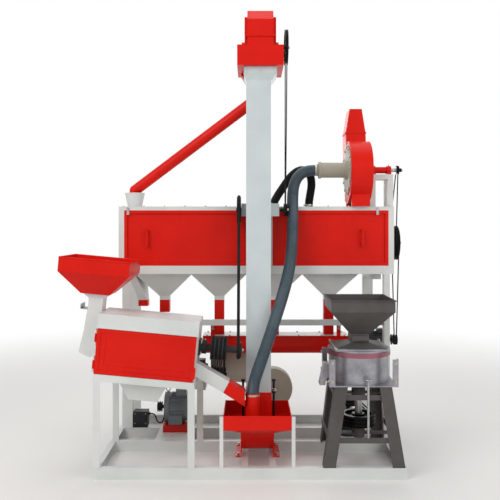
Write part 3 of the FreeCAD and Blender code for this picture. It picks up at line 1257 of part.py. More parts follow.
def mill_hopper():
    """Mill hopper: skirt, cone, square neck and the spread foot on the mill's cover."""
    x, y, w = MILL_X, MILL_Y, MILL_RIM / 2
    knee = MILL_RIM_Z - MILL_SKIRT
    neck = MILL_NECK / 2
    skirt = box(x - w, x + w, y - w, y + w, knee, MILL_RIM_Z)
    lip = box(x - w - 6, x + w + 6, y - w - 6, y + w + 6, MILL_RIM_Z - 5, MILL_RIM_Z)
    skirt = skirt.fuse(lip).cut(box(x - w + 3, x + w - 3, y - w + 3, y + w - 3, knee - 1, MILL_RIM_Z + 1))
    low = (x - neck, x + neck, y - neck, y + neck, 906)
    cone = chute(low, (x - w, x + w, y - w, y + w, knee), 3)
    throat = box(x - neck, x + neck, y - neck, y + neck, 850, 906)
    throat = throat.cut(box(x - neck + 4, x + neck - 4, y - neck + 4, y + neck - 4, 849, 907))
    slot = box(x - neck + 3, x + neck - 3, y - neck - 1, y + neck - 4, 872, 878)
    foot = taper((x - 165, x + 165, y - 165, y + 165, MILL_TOP_Z + GAP),
                 (x - neck, x + neck, y - neck, y + neck, 850))
    foot = foot.cut(taper((x - 150, x + 150, y - 150, y + 150, MILL_TOP_Z),
                          (x - 56, x + 56, y - 56, y + 56, 851)))
    return fuse([skirt, cone, throat.cut(slot), foot])


def mill_gate():
    """Slide in the neck of the mill's hopper."""
    x, y, n = MILL_X, MILL_Y, MILL_NECK / 2
    plate = box(x - n + 4, x + n - 4, y - n - 22, y + n - 5, 873, 877)
    return fuse([plate, box(x - n + 4, x + n - 4, y - n - 25, y - n - 21, 865, 895)])


def mill_body():
    """Drum between a square base plate on corner angles and a cast cover, with the fixed stone."""
    x, y, z = MILL_X, MILL_Y, MILL_BASE_Z
    w = MILL_PLATE / 2
    plate = box(x - w, x + w, y - w, y + w, z - 8, z)
    for index in range(4):
        angle = box(w - 38, w, w - 38, w, z, MILL_TOP_Z - 56)
        angle = angle.cut(box(w - 39, w - 5, w - 39, w - 5, z - 1, MILL_TOP_Z))
        angle.rotate(Vec(0, 0, 0), AZ, index * 90)
        angle.translate(Vec(x, y, 0))
        plate = plate.fuse(angle)
    plate = plate.cut(rod(Vec(x, y, z - 9), AZ, 60, 20)).removeSplitter()
    drum = pipe(Vec(x, y, z + GAP), AZ, MILL_DRUM_R, MILL_DRUM_R - 4, MILL_DRUM_TALL - GAP)
    drum = drum.cut(box(x - 230, x - 150, y - 42, y + 42, z + 20, z + 104))
    ring = pipe(Vec(x, y, z + MILL_DRUM_TALL + GAP), AZ, MILL_DRUM_R + 12, MILL_DRUM_R - 20, 30)
    cover = rod(Vec(x, y, z + MILL_DRUM_TALL + 31), AZ, MILL_DRUM_R + 6, 12)
    square = box(x - 178, x + 178, y - 178, y + 178, MILL_TOP_Z - 12, MILL_TOP_Z)
    cover = fuse([cover, square]).cut(rod(Vec(x, y, z), AZ, 50, 400))
    stone = pipe(Vec(x, y, 716), AZ, 170, 48, z + MILL_DRUM_TALL + 31 - 716 - GAP)
    points = [Vec(x - 202, 0, 705), Vec(x - 236, 0, 705), Vec(x - 266, 0, 560), Vec(x - 228, 0, 560),
              Vec(x - 224, 0, 600), Vec(x - 202, 0, 612)]
    spout = flat_duct(points, AY * (y - 45), AY * (y + 45), 2.5,
                      [(points[2], points[3]), (points[5], points[0])])
    return group([plate, drum, ring, cover, stone, spout])


def mill_legs():
    """Four splayed angle legs with cross ties that carry the spindle bearings."""
    x, y = MILL_X, MILL_Y
    top, foot = MILL_BASE_Z - 8, RAIL_TALL
    legs = []
    for sx in (-1, 1):
        for sy, low, out in ((-1, -238.0, 263), (1, RAIL_C_Y + 36 - MILL_Y, 224)):
            def angle(ox, oy, z):
                corner = Vec(x + sx * ox, y + oy, z)
                a, b = AX * (-sx), AY * (-sy)
                pts = [corner, corner + a * 80, corner + a * 80 + b * 6, corner + a * 6 + b * 6,
                       corner + a * 6 + b * 70, corner + b * 70]
                return Part.makePolygon(pts + [pts[0]])
            legs.append(Part.makeLoft([angle(out, low, foot), angle(182, sy * 215, top)], True, True))
    for z, reach in ((228, 232), (500, 188)):
        side = 225 if z < 300 else 208
        legs.append(box(x - reach, x + reach, y - side + 4, y - side + 12, z, z + 34))
        for sx in (-1, 1):
            inner = x + sx * (reach - 8)
            low, high = sorted((inner, inner - sx * 8))
            legs.append(box(low, high, y - side + 4, y + 235, z, z + 34))
        legs.append(box(x - reach + 8, x + reach - 8, y - 28, y + 28, z, z + 8))
    frame = fuse(legs)
    boss = [rod(Vec(x, y, 470), AZ, 46, 68), rod(Vec(x, y, 206), AZ, 42, 62)]
    frame = fuse([frame] + boss)
    frame = frame.cut(rod(Vec(x, y, 236), AZ, SPINDLE_R + RUN, 400))
    return frame.cut(rod(Vec(x + 25, y - 236, 100), AZ, 8 + RUN, 500))


def mill_spindle():
    """Upright spindle with the running stone, its sweeps and the drive pulley."""
    x, y = MILL_X, MILL_Y
    shaft = rod(Vec(x, y, 236 + GAP), AZ, SPINDLE_R, MILL_SHAFT_TOP - 236)
    stone = pipe(Vec(x, y, 640), AZ, 170, SPINDLE_R, 68)
    sweeps = [box(x + a, x + b, y - 3, y + 3, 645, 690) for a, b in ((-190, -165), (165, 190))]
    stone = fuse([stone] + sweeps)
    wheel = pulley(Vec(x, y, MILL_PULLEY_Z), AZ, MILL_PULLEY_R, MILL_PULLEY_WIDE, 3, SPINDLE_R)
    return group([shaft, stone, wheel])


def mill_adjuster():
    """Adjusting screw with a spoked handwheel, in front of the base plate."""
    x, y = MILL_X + 25, MILL_Y - 236
    wheel = Part.makeTorus(27, 4, Vec(x, y, 640), AZ)
    parts = [rod(Vec(x, y, 268), AZ, 8, 378), wheel, rod(Vec(x, y, 630), AZ, 14, 20)]
    for index in range(3):
        spoke = rod(Vec(x, y, 640), AX, 3.5, 27)
        spoke.rotate(Vec(x, y, 640), AZ, index * 120 + 20)
        parts.append(spoke)
    return fuse(parts)


def main_motor_set():
    """Centre of the grey motor, and the red slide base that it stands on."""
    y, top = MAIN_MOTOR_Y, RAIL_TALL + SLIDE_TALL
    centre = Vec(MAIN_MOTOR_X, y, top + 2 + MAIN_MOTOR_R)
    near, far = y - SLIDE_HALF, y + SLIDE_HALF
    base = [box(SLIDE_X0, SLIDE_X1, near, near + SLIDE_RAIL_WIDE, RAIL_TALL + GAP, top),
            box(SLIDE_X0, SLIDE_X1, far - SLIDE_RAIL_WIDE, far, RAIL_TALL + GAP, top),
            box(SLIDE_X0, SLIDE_X1, near, far, top - SLIDE_TOP, top)]
    return centre, fuse(base)


def blower():
    """Round casing of the husk blower with its inlet eye, its feet and the duct that takes the husk."""
    x, z, y0, y1 = BLOWER_X, BLOWER_Z, BLOWER_Y0, BLOWER_Y1
    outer = rod(Vec(x, y0, z), AY, BLOWER_R, y1 - y0)
    disc = outer.cut(rod(Vec(x, y0 + BLOWER_SHEET, z), AY, BLOWER_R - BLOWER_SHEET,
                         y1 - y0 - 2 * BLOWER_SHEET))
    eye = rod(Vec(x, y0 - 8, z), AY, BLOWER_EYE_R, 12)
    foot = [box(x + a, x + b, y0 + 42, y1 - 20, RAIL_TALL, 290) for a, b in ((-90, -60), (60, 90))]
    duct = flat_duct([Vec(-300, 0, 672), Vec(-30, 0, 672), Vec(60, 0, 520), Vec(60, 0, 425),
                      Vec(-300, 0, 455)],
                     AY * y0, AY * y1, 2.5, [(Vec(-300, 0, 455), Vec(-300, 0, 672))])
    body = fuse([disc, duct.cut(outer), eye] + [one.cut(outer) for one in foot])
    inlet = rod(Vec(x, y1 - 4, z), AY, MOTOR_SHAFT_R + 3, 8)
    return body.cut(inlet).cut(rod(Vec(x, y0 - 9, z), AY, BLOWER_EYE_BORE, 20))


def blower_rotor():
    """Blower impeller on its motor's shaft."""
    x, z, y0 = BLOWER_X, BLOWER_Z, BLOWER_Y0
    parts = [rod(Vec(x, y0 + 30, z), AY, MOTOR_SHAFT_R, 96), rod(Vec(x, y0 + 66, z), AY, BLOWER_BACK_R, 4),
             rod(Vec(x, y0 + 24, z), AY, 26, 42)]
    for index in range(6):
        blade = Part.makeBox(BLOWER_BLADE, 46, 4, Vec(x + 22, y0 + 22, z - 2))
        blade.rotate(Vec(x, y0, z), AY, index * 60)
        parts.append(blade)
    return fuse(parts)


def blower_motor():
    """Motor of the blower on a folded steel pedestal."""
    x, y, drop = BLOWER_X, BLOWER_MOTOR_Y, BLOWER_MOTOR_R + BLOWER_MOTOR_FOOT
    body = motor(Vec(x, y, BLOWER_Z), AY, BLOWER_MOTOR_R, BLOWER_MOTOR_LONG, drop)
    top = BLOWER_Z - drop - GAP
    pedestal = box(x - 82, x + 82, y - 62, y + 68, RAIL_TALL, top)
    pedestal = pedestal.cut(box(x - 76, x + 76, y - 63, y + 69, RAIL_TALL, top - 6))
    return group([body, pedestal])


def grader_motor():
    """Motor that drives the sieve drum and, from it, the fan."""
    centre = Vec(GRADER_MOTOR_X, GRADER_MOTOR_Y, GRADER_MOTOR_Z)
    return motor(centre, AX, GRADER_MOTOR_R, GRADER_MOTOR_LONG, GRADER_MOTOR_R + GRADER_MOTOR_FOOT - GAP)


def starter_box():
    x0, x1, y0, y1 = STARTER
    body = box(x0, x1, y0, y1, RAIL_TALL + GAP, 196)
    lid = box(x0 + 5, x1 - 5, y0 - 8, y0, 100, 190)
    buttons = [rod(Vec(x, y0 - 8, 165), -AY, 8, 6) for x in (x0 + 35, x1 - 35)]
    gland = rod(Vec(x1, y0 + 45, 170), AX, 11, 16)
    return fuse([body, lid, gland] + buttons)


motor_centre, motor_base = main_motor_set()
save("jackshaft", jackshaft())
for node, maker in (("mill_hopper", mill_hopper), ("mill_gate", mill_gate), ("mill_body", mill_body),
                    ("mill_legs", mill_legs), ("mill_spindle", mill_spindle),
                    ("mill_adjuster", mill_adjuster),
                    ("husk_blower", blower), ("blower_rotor", blower_rotor), ("starter_box", starter_box)):
    save(node, maker())
save("main_motor", group([motor(motor_centre, AX, MAIN_MOTOR_R, MAIN_MOTOR_LONG, MAIN_MOTOR_R + 2 - GAP),
                          motor_base]))
save("main_motor_pulley", motor_rotor(motor_centre - AX * (MAIN_MOTOR_LONG / 2 + GAP), -AX,
                                      MOTOR_SHAFT_R, 64, 42, 40, 34, 2))
mill_motor = motor(Vec(MILL_X, MILL_MOTOR_Y, RAIL_TALL + MILL_MOTOR_LIFT + GAP), AZ, MILL_MOTOR_R,
                   MILL_MOTOR_LONG, 0)
mill_motor_end = RAIL_TALL + MILL_MOTOR_LIFT + MILL_MOTOR_LONG / 2 + 10 + 2 * GAP
save("drive_motors", group([tilted(husker_motor()), mill_motor, grader_motor(), blower_motor()]))
save("mill_motor_pulley", motor_rotor(Vec(MILL_X, MILL_MOTOR_Y, mill_motor_end), AZ, MOTOR_SHAFT_R, 100,
                                      MILL_PULLEY_Z - mill_motor_end, MILL_MOTOR_PULLEY_R,
                                      MILL_PULLEY_WIDE, 3))
save("grader_motor_pulley", motor_rotor(Vec(GRADER_MOTOR_END, GRADER_MOTOR_Y, GRADER_MOTOR_Z), AX,
                                        MOTOR_SHAFT_R, 74, BELT_PLANE_X - GRADER_MOTOR_END,
                                        GRADER_MOTOR_PULLEY_R, GRADER_PULLEY_WIDE, 2))
save("shaft_bearings", group([drum_bearings(), jackshaft_bearings(), tilted(roller_bearings()),
                              tilted(left_roller_bearing())]))

belts = list(husker_belts)
belts += v_belts(Vec(MILL_X, MILL_Y, MILL_PULLEY_Z), MILL_PULLEY_R,
                 Vec(MILL_X, MILL_MOTOR_Y, MILL_PULLEY_Z), MILL_MOTOR_PULLEY_R, AZ, MILL_PULLEY_WIDE, 3)
drum_low = v_belts(Vec(BELT_PLANE_X, DRUM_AXIS_Y, DRUM_AXIS_Z), GRADER_PULLEY_R,
                   Vec(BELT_PLANE_X, GRADER_MOTOR_Y, GRADER_MOTOR_Z), GRADER_MOTOR_PULLEY_R, AX,
                   GRADER_PULLEY_WIDE, 2)
belts.append(drum_low[1])
fan_plane = BELT_PLANE_X - 11
belts.append(belt(Vec(fan_plane, FAN_Y, FAN_Z), FAN_PULLEY_R - groove_depth(FAN_PULLEY_R) + GAP,
                  Vec(fan_plane, DRUM_AXIS_Y, DRUM_AXIS_Z), GRADER_PULLEY_R - 11 + GAP, AX, 6.5, 9.0))
belts += v_belts(Vec(SHEAVE_X, LEG_Y, HEAD_SHAFT_Z), SHEAVE_R, Vec(SHEAVE_X, JACK_Y, JACK_Z),
                 JACK_RIGHT_R, AX, 22, 1)
husker_drive = Vec(SMALL_PULLEY_X, ROLLER_Y, ROLLER_Z)
turned = FreeCAD.Rotation(AY, TILT).multVec(husker_drive) + HUSKER_ORIGIN
jack_low = Vec(JACK_BELT_X, turned.y, turned.z)
belts.append(belt(jack_low, SMALL_PULLEY_R + 1.5, Vec(JACK_BELT_X, JACK_Y, JACK_Z), JACK_LEFT_R + GAP,
                  AX, 18, 9.0))
save("drive_belts", group(belts))
save("motor_lead", hose(LEAD, 5.0, "motor lead"))
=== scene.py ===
import json
import math

import bmesh
import bpy
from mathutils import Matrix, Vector


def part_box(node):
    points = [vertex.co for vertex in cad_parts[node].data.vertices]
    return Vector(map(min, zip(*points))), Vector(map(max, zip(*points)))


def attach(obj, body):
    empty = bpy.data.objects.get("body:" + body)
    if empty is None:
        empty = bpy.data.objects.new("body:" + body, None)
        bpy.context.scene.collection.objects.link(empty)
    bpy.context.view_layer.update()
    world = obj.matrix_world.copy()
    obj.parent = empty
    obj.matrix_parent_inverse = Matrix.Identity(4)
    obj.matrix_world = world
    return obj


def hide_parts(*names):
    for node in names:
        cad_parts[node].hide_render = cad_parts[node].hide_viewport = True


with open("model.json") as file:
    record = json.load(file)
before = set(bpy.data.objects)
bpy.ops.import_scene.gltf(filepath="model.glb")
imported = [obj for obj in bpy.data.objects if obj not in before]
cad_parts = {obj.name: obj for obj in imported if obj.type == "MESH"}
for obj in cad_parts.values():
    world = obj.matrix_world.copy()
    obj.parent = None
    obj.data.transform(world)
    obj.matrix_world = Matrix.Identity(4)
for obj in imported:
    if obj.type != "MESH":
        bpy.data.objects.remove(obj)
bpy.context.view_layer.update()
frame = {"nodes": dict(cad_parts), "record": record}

# Camera at the height of a standing person, 4.2 m in front of the machine, looking level at it.
# The lens shift puts the floor and the elevator's top in the frame without tilting the upright lines.
EYE_HEIGHT = 1.613
EYE_DISTANCE = 4.820
bpy.ops.object.select_all(action="DESELECT")
bpy.ops.object.camera_add(location=(0, -EYE_DISTANCE, EYE_HEIGHT), rotation=(math.pi / 2, 0, 0))
camera = bpy.context.object
camera.name = "camera"
camera.data.sensor_width = 36
camera.data.lens = 47.25
camera.data.shift_y = -0.044
bpy.context.scene.camera = camera
bpy.context.scene.view_settings.view_transform = "Standard"


def linear(code):
    """Colour written as sRGB hex, as the linear values that a shader takes."""
    parts = [int(code[i:i + 2], 16) / 255 for i in (0, 2, 4)]
    return [c / 12.92 if c <= 0.04045 else ((c + 0.055) / 1.055) ** 2.4 for c in parts] + [1.0]


def node(tree, kind, inputs=None, **settings):
    """Adds one shader node. An input that is a socket is linked, and anything else is set."""
    made = tree.nodes.new(kind)
    for key, value in settings.items():
        setattr(made, key, value)
    for key, value in (inputs or {}).items():
        if isinstance(value, bpy.types.NodeSocket):
            tree.links.new(value, made.inputs[key])
        else:
            made.inputs[key].default_value = value
    return made


def new_material(name):
    """A material with its node tree and its one Principled shader."""
    material = bpy.data.materials.new(name)
    material.use_nodes = True
    tree = material.node_tree
    return material, tree, tree.nodes["Principled BSDF"]


# Soft boxes as a studio has them: a large one high on the left front, a weaker one on the right,
# and one overhead that lights the hopper mouths and the machine's top.
for name, place, turn, side, power in (
        ("key_light", (-3.2, -4.2, 4.4), (52, 0, -38), 3.0, 125),
        ("fill_light", (3.8, -3.8, 2.6), (68, 0, 46), 3.0, 60),
        ("top_light", (0.0, 0.4, 5.4), (0, 0, 0), 3.2, 55),
        ("back_light", (0.5, 4.6, 3.4), (-62, 0, 8), 3.0, 55)):
    bpy.ops.object.light_add(type="AREA", location=place, rotation=[math.radians(a) for a in turn])
    lamp = bpy.context.object
    lamp.name = name
    lamp.data.size = side
    lamp.data.energy = power

# White surroundings: seen directly or in a reflection they are white, and they light the object
# as a pale room does.
world = bpy.data.worlds.new("studio")
bpy.context.scene.world = world
world.use_nodes = True
tree = world.node_tree
path = node(tree, "ShaderNodeLightPath")
seen = node(tree, "ShaderNodeMath", {0: path.outputs["Is Camera Ray"],
                                     1: path.outputs["Is Transmission Ray"]}, operation="MAXIMUM")
seen = node(tree, "ShaderNodeMath", {0: seen.outputs[0], 1: path.outputs["Is Glossy Ray"]},
            operation="MAXIMUM")
strength = node(tree, "ShaderNodeMapRange", {"Value": seen.outputs[0], "To Min": 0.5, "To Max": 1.0})
background = tree.nodes["Background"]
background.inputs["Color"].default_value = (1, 1, 1, 1)
tree.links.new(strength.outputs[0], background.inputs["Strength"])

# Workshop floor, plain and pale. It takes the machine's soft shadow, and far from the machine it turns
# into the same white as the surroundings, so that no horizon shows.
FLOOR_NEAR, FLOOR_FAR = 2.2, 6.5
bpy.ops.mesh.primitive_plane_add(size=60, location=(0, 0, 0))
floor = bpy.context.object
floor.name = "floor"
material, tree, shader = new_material("pale_floor")
shader.inputs["Base Color"].default_value = linear("ECEBE8")
shader.inputs["Roughness"].default_value = 0.7
place = node(tree, "ShaderNodeTexCoord")
away = node(tree, "ShaderNodeVectorMath", {0: place.outputs["Object"]}, operation="LENGTH")
fade = node(tree, "ShaderNodeMapRange", {"Value": away.outputs["Value"], "From Min": FLOOR_NEAR,
                                         "From Max": FLOOR_FAR}, interpolation_type="SMOOTHSTEP")
path = node(tree, "ShaderNodeLightPath")
seen = node(tree, "ShaderNodeMath", {0: path.outputs["Is Camera Ray"], 1: path.outputs["Is Glossy Ray"]},
            operation="MAXIMUM")
share = node(tree, "ShaderNodeMath", {0: fade.outputs[0], 1: seen.outputs[0]}, operation="MULTIPLY")
white = node(tree, "ShaderNodeEmission", {"Color": (1, 1, 1, 1), "Strength": 1.0})
blend = node(tree, "ShaderNodeMixShader", {0: share.outputs[0], 1: shader.outputs[0], 2: white.outputs[0]})
tree.links.new(blend.outputs[0], tree.nodes["Material Output"].inputs["Surface"])
floor.data.materials.append(material)


def mottled(tree, shader, light, dark, size, amount=1.0, rough=(0.4, 0.5)):
    """Base colour that drifts between two shades in patches of that size, in metres, and roughness too."""
    place = node(tree, "ShaderNodeTexCoord")
    patches = node(tree, "ShaderNodeTexNoise", {"Vector": place.outputs["Object"], "Scale": 1 / size,
                                                "Detail": 5.0, "Roughness": 0.6})
    spread = node(tree, "ShaderNodeMapRange", {"Value": patches.outputs["Fac"], "From Min": 0.35,
                                               "From Max": 0.7, "To Max": amount})
    colour = node(tree, "ShaderNodeMix", {0: spread.outputs[0], 6: linear(light), 7: linear(dark)},
                  data_type="RGBA")
    gloss = node(tree, "ShaderNodeMapRange", {"Value": patches.outputs["Fac"], "From Min": 0.3,
                                              "From Max": 0.7, "To Min": rough[0], "To Max": rough[1]})
    tree.links.new(colour.outputs[2], shader.inputs["Base Color"])
    tree.links.new(gloss.outputs[0], shader.inputs["Roughness"])
    return place, colour


def band(tree, place, axis, low, high):
    """1 where the coordinate on that axis lies between low and high, in metres, and 0 elsewhere."""
    parts = node(tree, "ShaderNodeSeparateXYZ", {0: place.outputs["Object"]})
    above = node(tree, "ShaderNodeMath", {0: parts.outputs[axis], 1: low}, operation="GREATER_THAN")
    below = node(tree, "ShaderNodeMath", {0: parts.outputs[axis], 1: high}, operation="LESS_THAN")
    both = node(tree, "ShaderNodeMath", {0: above.outputs[0], 1: below.outputs[0]}, operation="MULTIPLY")
    return both.outputs[0]


def recolour(tree, shader, mask, code):
    """Another colour over the shader's present one where the mask is 1."""
    before = shader.inputs["Base Color"].links[0].from_socket
    over = node(tree, "ShaderNodeMix", {0: mask, 6: before, 7: linear(code)}, data_type="RGBA")
    tree.links.new(over.outputs[2], shader.inputs["Base Color"])


def bump(tree, shader, place, size, depth):
    """Fine unevenness of the surface: waves of that size and depth, both in metres."""
    waves = node(tree, "ShaderNodeTexNoise", {"Vector": place.outputs["Object"], "Scale": 1 / size,
                                              "Detail": 2.0})
    relief = node(tree, "ShaderNodeBump", {"Height": waves.outputs["Fac"], "Distance": depth,
                                           "Strength": 1.0})
    tree.links.new(relief.outputs["Normal"], shader.inputs["Normal"])


ENAMEL_SHINE = 0.3


def enamel(name, light, dark, gloss=(0.32, 0.46), shine=ENAMEL_SHINE):
    """Machine enamel sprayed on sheet steel: even, half glossy, a little orange peel and duller patches."""
    material, tree, shader = new_material(name)
    shader.inputs["Specular IOR Level"].default_value = shine
    place, _ = mottled(tree, shader, light, dark, 0.35, rough=gloss)
    bump(tree, shader, place, 0.012, 0.00025)
    return material, tree, shader, place


def bare_metal(name, light, dark, rough, grain):
    """Turned or drawn steel: a metal whose shade drifts in fine streaks."""
    material, tree, shader = new_material(name)
    shader.inputs["Metallic"].default_value = 1.0
    place, _ = mottled(tree, shader, light, dark, grain, rough=rough)
    return material, tree, shader, place


# White enamel on the frame, grader, casing and chutes: a cool off-white that goes grey in duller patches.
white_enamel, *_ = enamel("white_enamel", "DCDEDB", "CFD2CF")

# The elevator's leg was sprayed with a bluer white than the frame.
cool_white_enamel, *_ = enamel("cool_white_enamel", "CDD5D6", "C0C9CB")

# Signal-red enamel on the sheet metal that opens or carries grain: strong, glossy, almost even.
red_enamel, *_ = enamel("red_enamel", "DD1A0A", "CF1408", gloss=(0.3, 0.44), shine=0.16)

# Cream enamel of the fan's inlet plate and the blower, yellowed by dust to a warm grey.
cream_enamel, *_ = enamel("cream_enamel", "B7B2A3", "A39E8F", gloss=(0.42, 0.6))

# Grey enamel of the mill, dark with flour rubbed into it in brown-grey patches.
mill_enamel, tree, shader, place = enamel("mill_enamel", "5A5754", "474442", gloss=(0.4, 0.62))

# Grey enamel on the bought motors. Up to the top of the grey motor's slide base it is the base's red.
SLIDE_BASE_TOP = 0.1285
motor_enamel, tree, shader, place = enamel("motor_enamel", "767C7F", "6A7073", gloss=(0.35, 0.5))
recolour(tree, shader, band(tree, place, 2, -1.0, SLIDE_BASE_TOP), "C01810")

# Near-black enamel on the drive motors and the starter box.
dark_enamel, *_ = enamel("dark_enamel", "2B2D30", "202225", gloss=(0.38, 0.55))

# Cast-iron pulleys and bearing housings, painted black, dull and slightly rough from the sand mould.
black_iron, tree, shader = new_material("painted_cast_iron")
shader.inputs["Specular IOR Level"].default_value = 0.3
place, _ = mottled(tree, shader, "19181A", "0F0F10", 0.06, rough=(0.45, 0.62))
bump(tree, shader, place, 0.004, 0.0004)

# Bright shafts, screws and buttons: ground mild steel with a slight grey film.
bright_steel, *_ = bare_metal("bright_steel", "B4B4B6", "8F8F93", (0.28, 0.42), 0.05)

# The mill's drum and plates: brushed sheet steel, with a dull red primer ring under the cover.
PRIMER_LOW, PRIMER_HIGH = 0.7695, 0.7995
mill_sheet, tree, shader, place = bare_metal("brushed_mill_sheet", "A4A3A8", "85848A", (0.34, 0.5), 0.08)
recolour(tree, shader, band(tree, place, 2, PRIMER_LOW, PRIMER_HIGH), "96606A")

# Galvanised sheet of the screen, the conveyor screw and the sieve drum, whose pulley is black: grey with pale
# crystals.
SIEVE_PULLEY, FAN_PULLEY, SHAFTS_END = 1.06, 1.078, 1.2
galvanised, tree, shader, place = bare_metal("galvanised_sheet", "A9ACAE", "8B8F92", (0.38, 0.55), 0.018)
recolour(tree, shader, band(tree, place, 0, SIEVE_PULLEY, SHAFTS_END), "1B1B1C")

# The fan's shaft with its cast pulley on it: bright where the shaft shows, black on the pulley.
pulley_steel, tree, shader, place = bare_metal("shaft_with_pulley", "B0B0B3", "8C8C90", (0.3, 0.45), 0.05)
recolour(tree, shader, band(tree, place, 0, FAN_PULLEY, SHAFTS_END), "1B1B1C")

# The mill's spindle: a bright shaft with a black cast pulley low down and the grey running stone on top.
MILL_PULLEY = (0.288, 0.366)
RUNNING_STONE = (0.638, 0.7095)
spindle_steel, tree, shader, place = bare_metal("mill_spindle_steel", "B0B0B3", "8C8C90", (0.3, 0.45), 0.05)
recolour(tree, shader, band(tree, place, 2, *MILL_PULLEY), "1B1B1C")
recolour(tree, shader, band(tree, place, 2, *RUNNING_STONE), "6E6A64")

# Emery in its cement: a dark grey crust of sharp grains.
emery_crust, tree, shader = new_material("emery_crust")
place, _ = mottled(tree, shader, "4A4744", "2C2A29", 0.006, rough=(0.8, 0.95))
bump(tree, shader, place, 0.002, 0.0012)

# Belt rubber: black with a grey bloom of dust on the rubbed faces.
belt_rubber, tree, shader = new_material("belt_rubber")
shader.inputs["Specular IOR Level"].default_value = 0.2
place, _ = mottled(tree, shader, "151516", "0C0C0D", 0.05, rough=(0.6, 0.78))

# Hose plastic: blue-grey flexible PVC with a soft shine.
hose_plastic, tree, shader = new_material("hose_plastic")
place, _ = mottled(tree, shader, "46565F", "3B4A54", 0.12, rough=(0.36, 0.5))

# Each solid takes the finish that its slot names, and a few have one of their own.
BY_SLOT = {"white_paint": white_enamel, "red_paint": red_enamel, "black_iron": black_iron,
           "steel": bright_steel, "emery": emery_crust, "motor_grey": motor_enamel,
           "motor_dark": dark_enamel, "mill_grey": mill_enamel, "mill_steel": mill_sheet,
           "cream_paint": cream_enamel, "belt_rubber": belt_rubber, "hose_plastic": hose_plastic}
OWN_FINISH = {"elevator_leg": cool_white_enamel, "sieve_drum": galvanised, "roller_screen": galvanised,
              "conveyor_screw": galvanised, "fan_rotor": pulley_steel, "mill_spindle": spindle_steel}
for part in frame["record"]["subparts"]:
    solid = frame["nodes"][part["node"]]
    solid.data.materials.clear()
    solid.data.materials.append(OWN_FINISH.get(part["node"], BY_SLOT[part["material_slot"]]))


def route_of(points, name):
    """One open spline through the given points."""
    curve = bpy.data.curves.new(name, "CURVE")
    curve.dimensions = "3D"
    curve.resolution_u = 24
    spline = curve.splines.new("NURBS")
    spline.points.add(len(points) - 1)
    for point, (x, y, z) in zip(spline.points, points):
        point.co = (x, y, z, 1)
    spline.order_u = 3
    spline.use_endpoint_u = True
    made = bpy.data.objects.new(name, curve)
    bpy.context.collection.objects.link(made)
    return made


def points_along(route):
    """The points of the line that a route draws, in order, in metres."""
    line = bpy.data.meshes.new_from_object(route)
    points = [Vector(v.co) for v in line.vertices]
    bpy.data.meshes.remove(line)
    return points


def finish_piece(piece, name, material, body="root"):
    """Turn and scale put into the mesh, name, finish and slot given, and the piece fixed to its body."""
    bpy.ops.object.select_all(action="DESELECT")
    piece.select_set(True)
    bpy.context.view_layer.objects.active = piece
    bpy.ops.object.transform_apply(location=True, rotation=True, scale=True)
    piece.name = name
    piece.data.materials.clear()
    piece.data.materials.append(material)
    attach(piece, body)
    return piece


def ribbed_hose(name, points, radius, groove, pitch, material):
    """Corrugated hose: one rib repeated along the route. Gives the hose and the line that it follows."""
    route = route_of(points, name + "_route")
    line = points_along(route)
    length = sum((b - a).length for a, b in zip(line, line[1:]))
    ribs = round(length / pitch)
    step = length / ribs
    bpy.ops.object.select_all(action="DESELECT")
    bpy.ops.mesh.primitive_circle_add(vertices=28, radius=radius - groove, fill_type="NOTHING",
                                      rotation=(0, math.pi / 2, 0))
    hose = bpy.context.object
    bpy.ops.object.transform_apply(rotation=True)
    bpy.ops.object.mode_set(mode="EDIT")
    bpy.ops.mesh.select_all(action="SELECT")
    for grow in (radius, radius, radius - groove, radius - groove):
        bpy.ops.mesh.extrude_region_move(TRANSFORM_OT_translate={"value": (0.25 * step, 0, 0)})
        ring = [v for v in bmesh.from_edit_mesh(hose.data).verts if v.select]
        now = math.hypot(ring[0].co.y, ring[0].co.z)
        bpy.ops.transform.resize(value=(1, grow / now, grow / now), center_override=(ring[0].co.x, 0, 0))
    bpy.ops.object.mode_set(mode="OBJECT")
    repeat = hose.modifiers.new("ribs", "ARRAY")
    repeat.count = ribs
    repeat.use_relative_offset = False
    repeat.use_constant_offset = True
    repeat.constant_offset_displace = (step, 0, 0)
    repeat.use_merge_vertices = True
    repeat.merge_threshold = 0.0002
    bend = hose.modifiers.new("route", "CURVE")
    bend.object = route
    bend.deform_axis = "POS_X"
    bpy.ops.object.modifier_apply(modifier="ribs")
    bpy.ops.object.modifier_apply(modifier="route")
    bpy.data.objects.remove(route)
    bpy.ops.object.shade_smooth_by_angle(angle=math.radians(50))
    return finish_piece(hose, name, material), line


# Grain hose: 3 inch corrugated plastic hose that comes off the fan's inlet and drops in a long bow to the
# sleeve in the elevator's feed tray. Its ribs are rings 9 mm apart, repeated along the route.
HOSE_RADIUS = 0.041
HOSE_GROOVE = 0.0028
HOSE_PITCH = 0.009
FRONT = -0.620
HOSE_POINTS = [(x / 1000, FRONT + setback / 1000, z / 1000) for x, setback, z in (
    (495, 660, 2041), (443, 660, 2041), (388, 652, 2023), (346, 636, 1984), (322, 608, 1930),
    (311, 568, 1868), (306, 518, 1795), (304, 474, 1710), (302, 450, 1610), (296, 424, 1495),
    (283, 380, 1375), (253, 308, 1252), (213, 230, 1132), (172, 188, 1012), (131, 169, 893),
    (91, 162, 778), (55, 160, 675), (30, 158, 600), (20, 156, 548), (18, 156, 500))]
hose, hose_line = ribbed_hose("grain_hose_ribbed", HOSE_POINTS, HOSE_RADIUS, HOSE_GROOVE, HOSE_PITCH,
                              hose_plastic)
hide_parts("grain_hose")

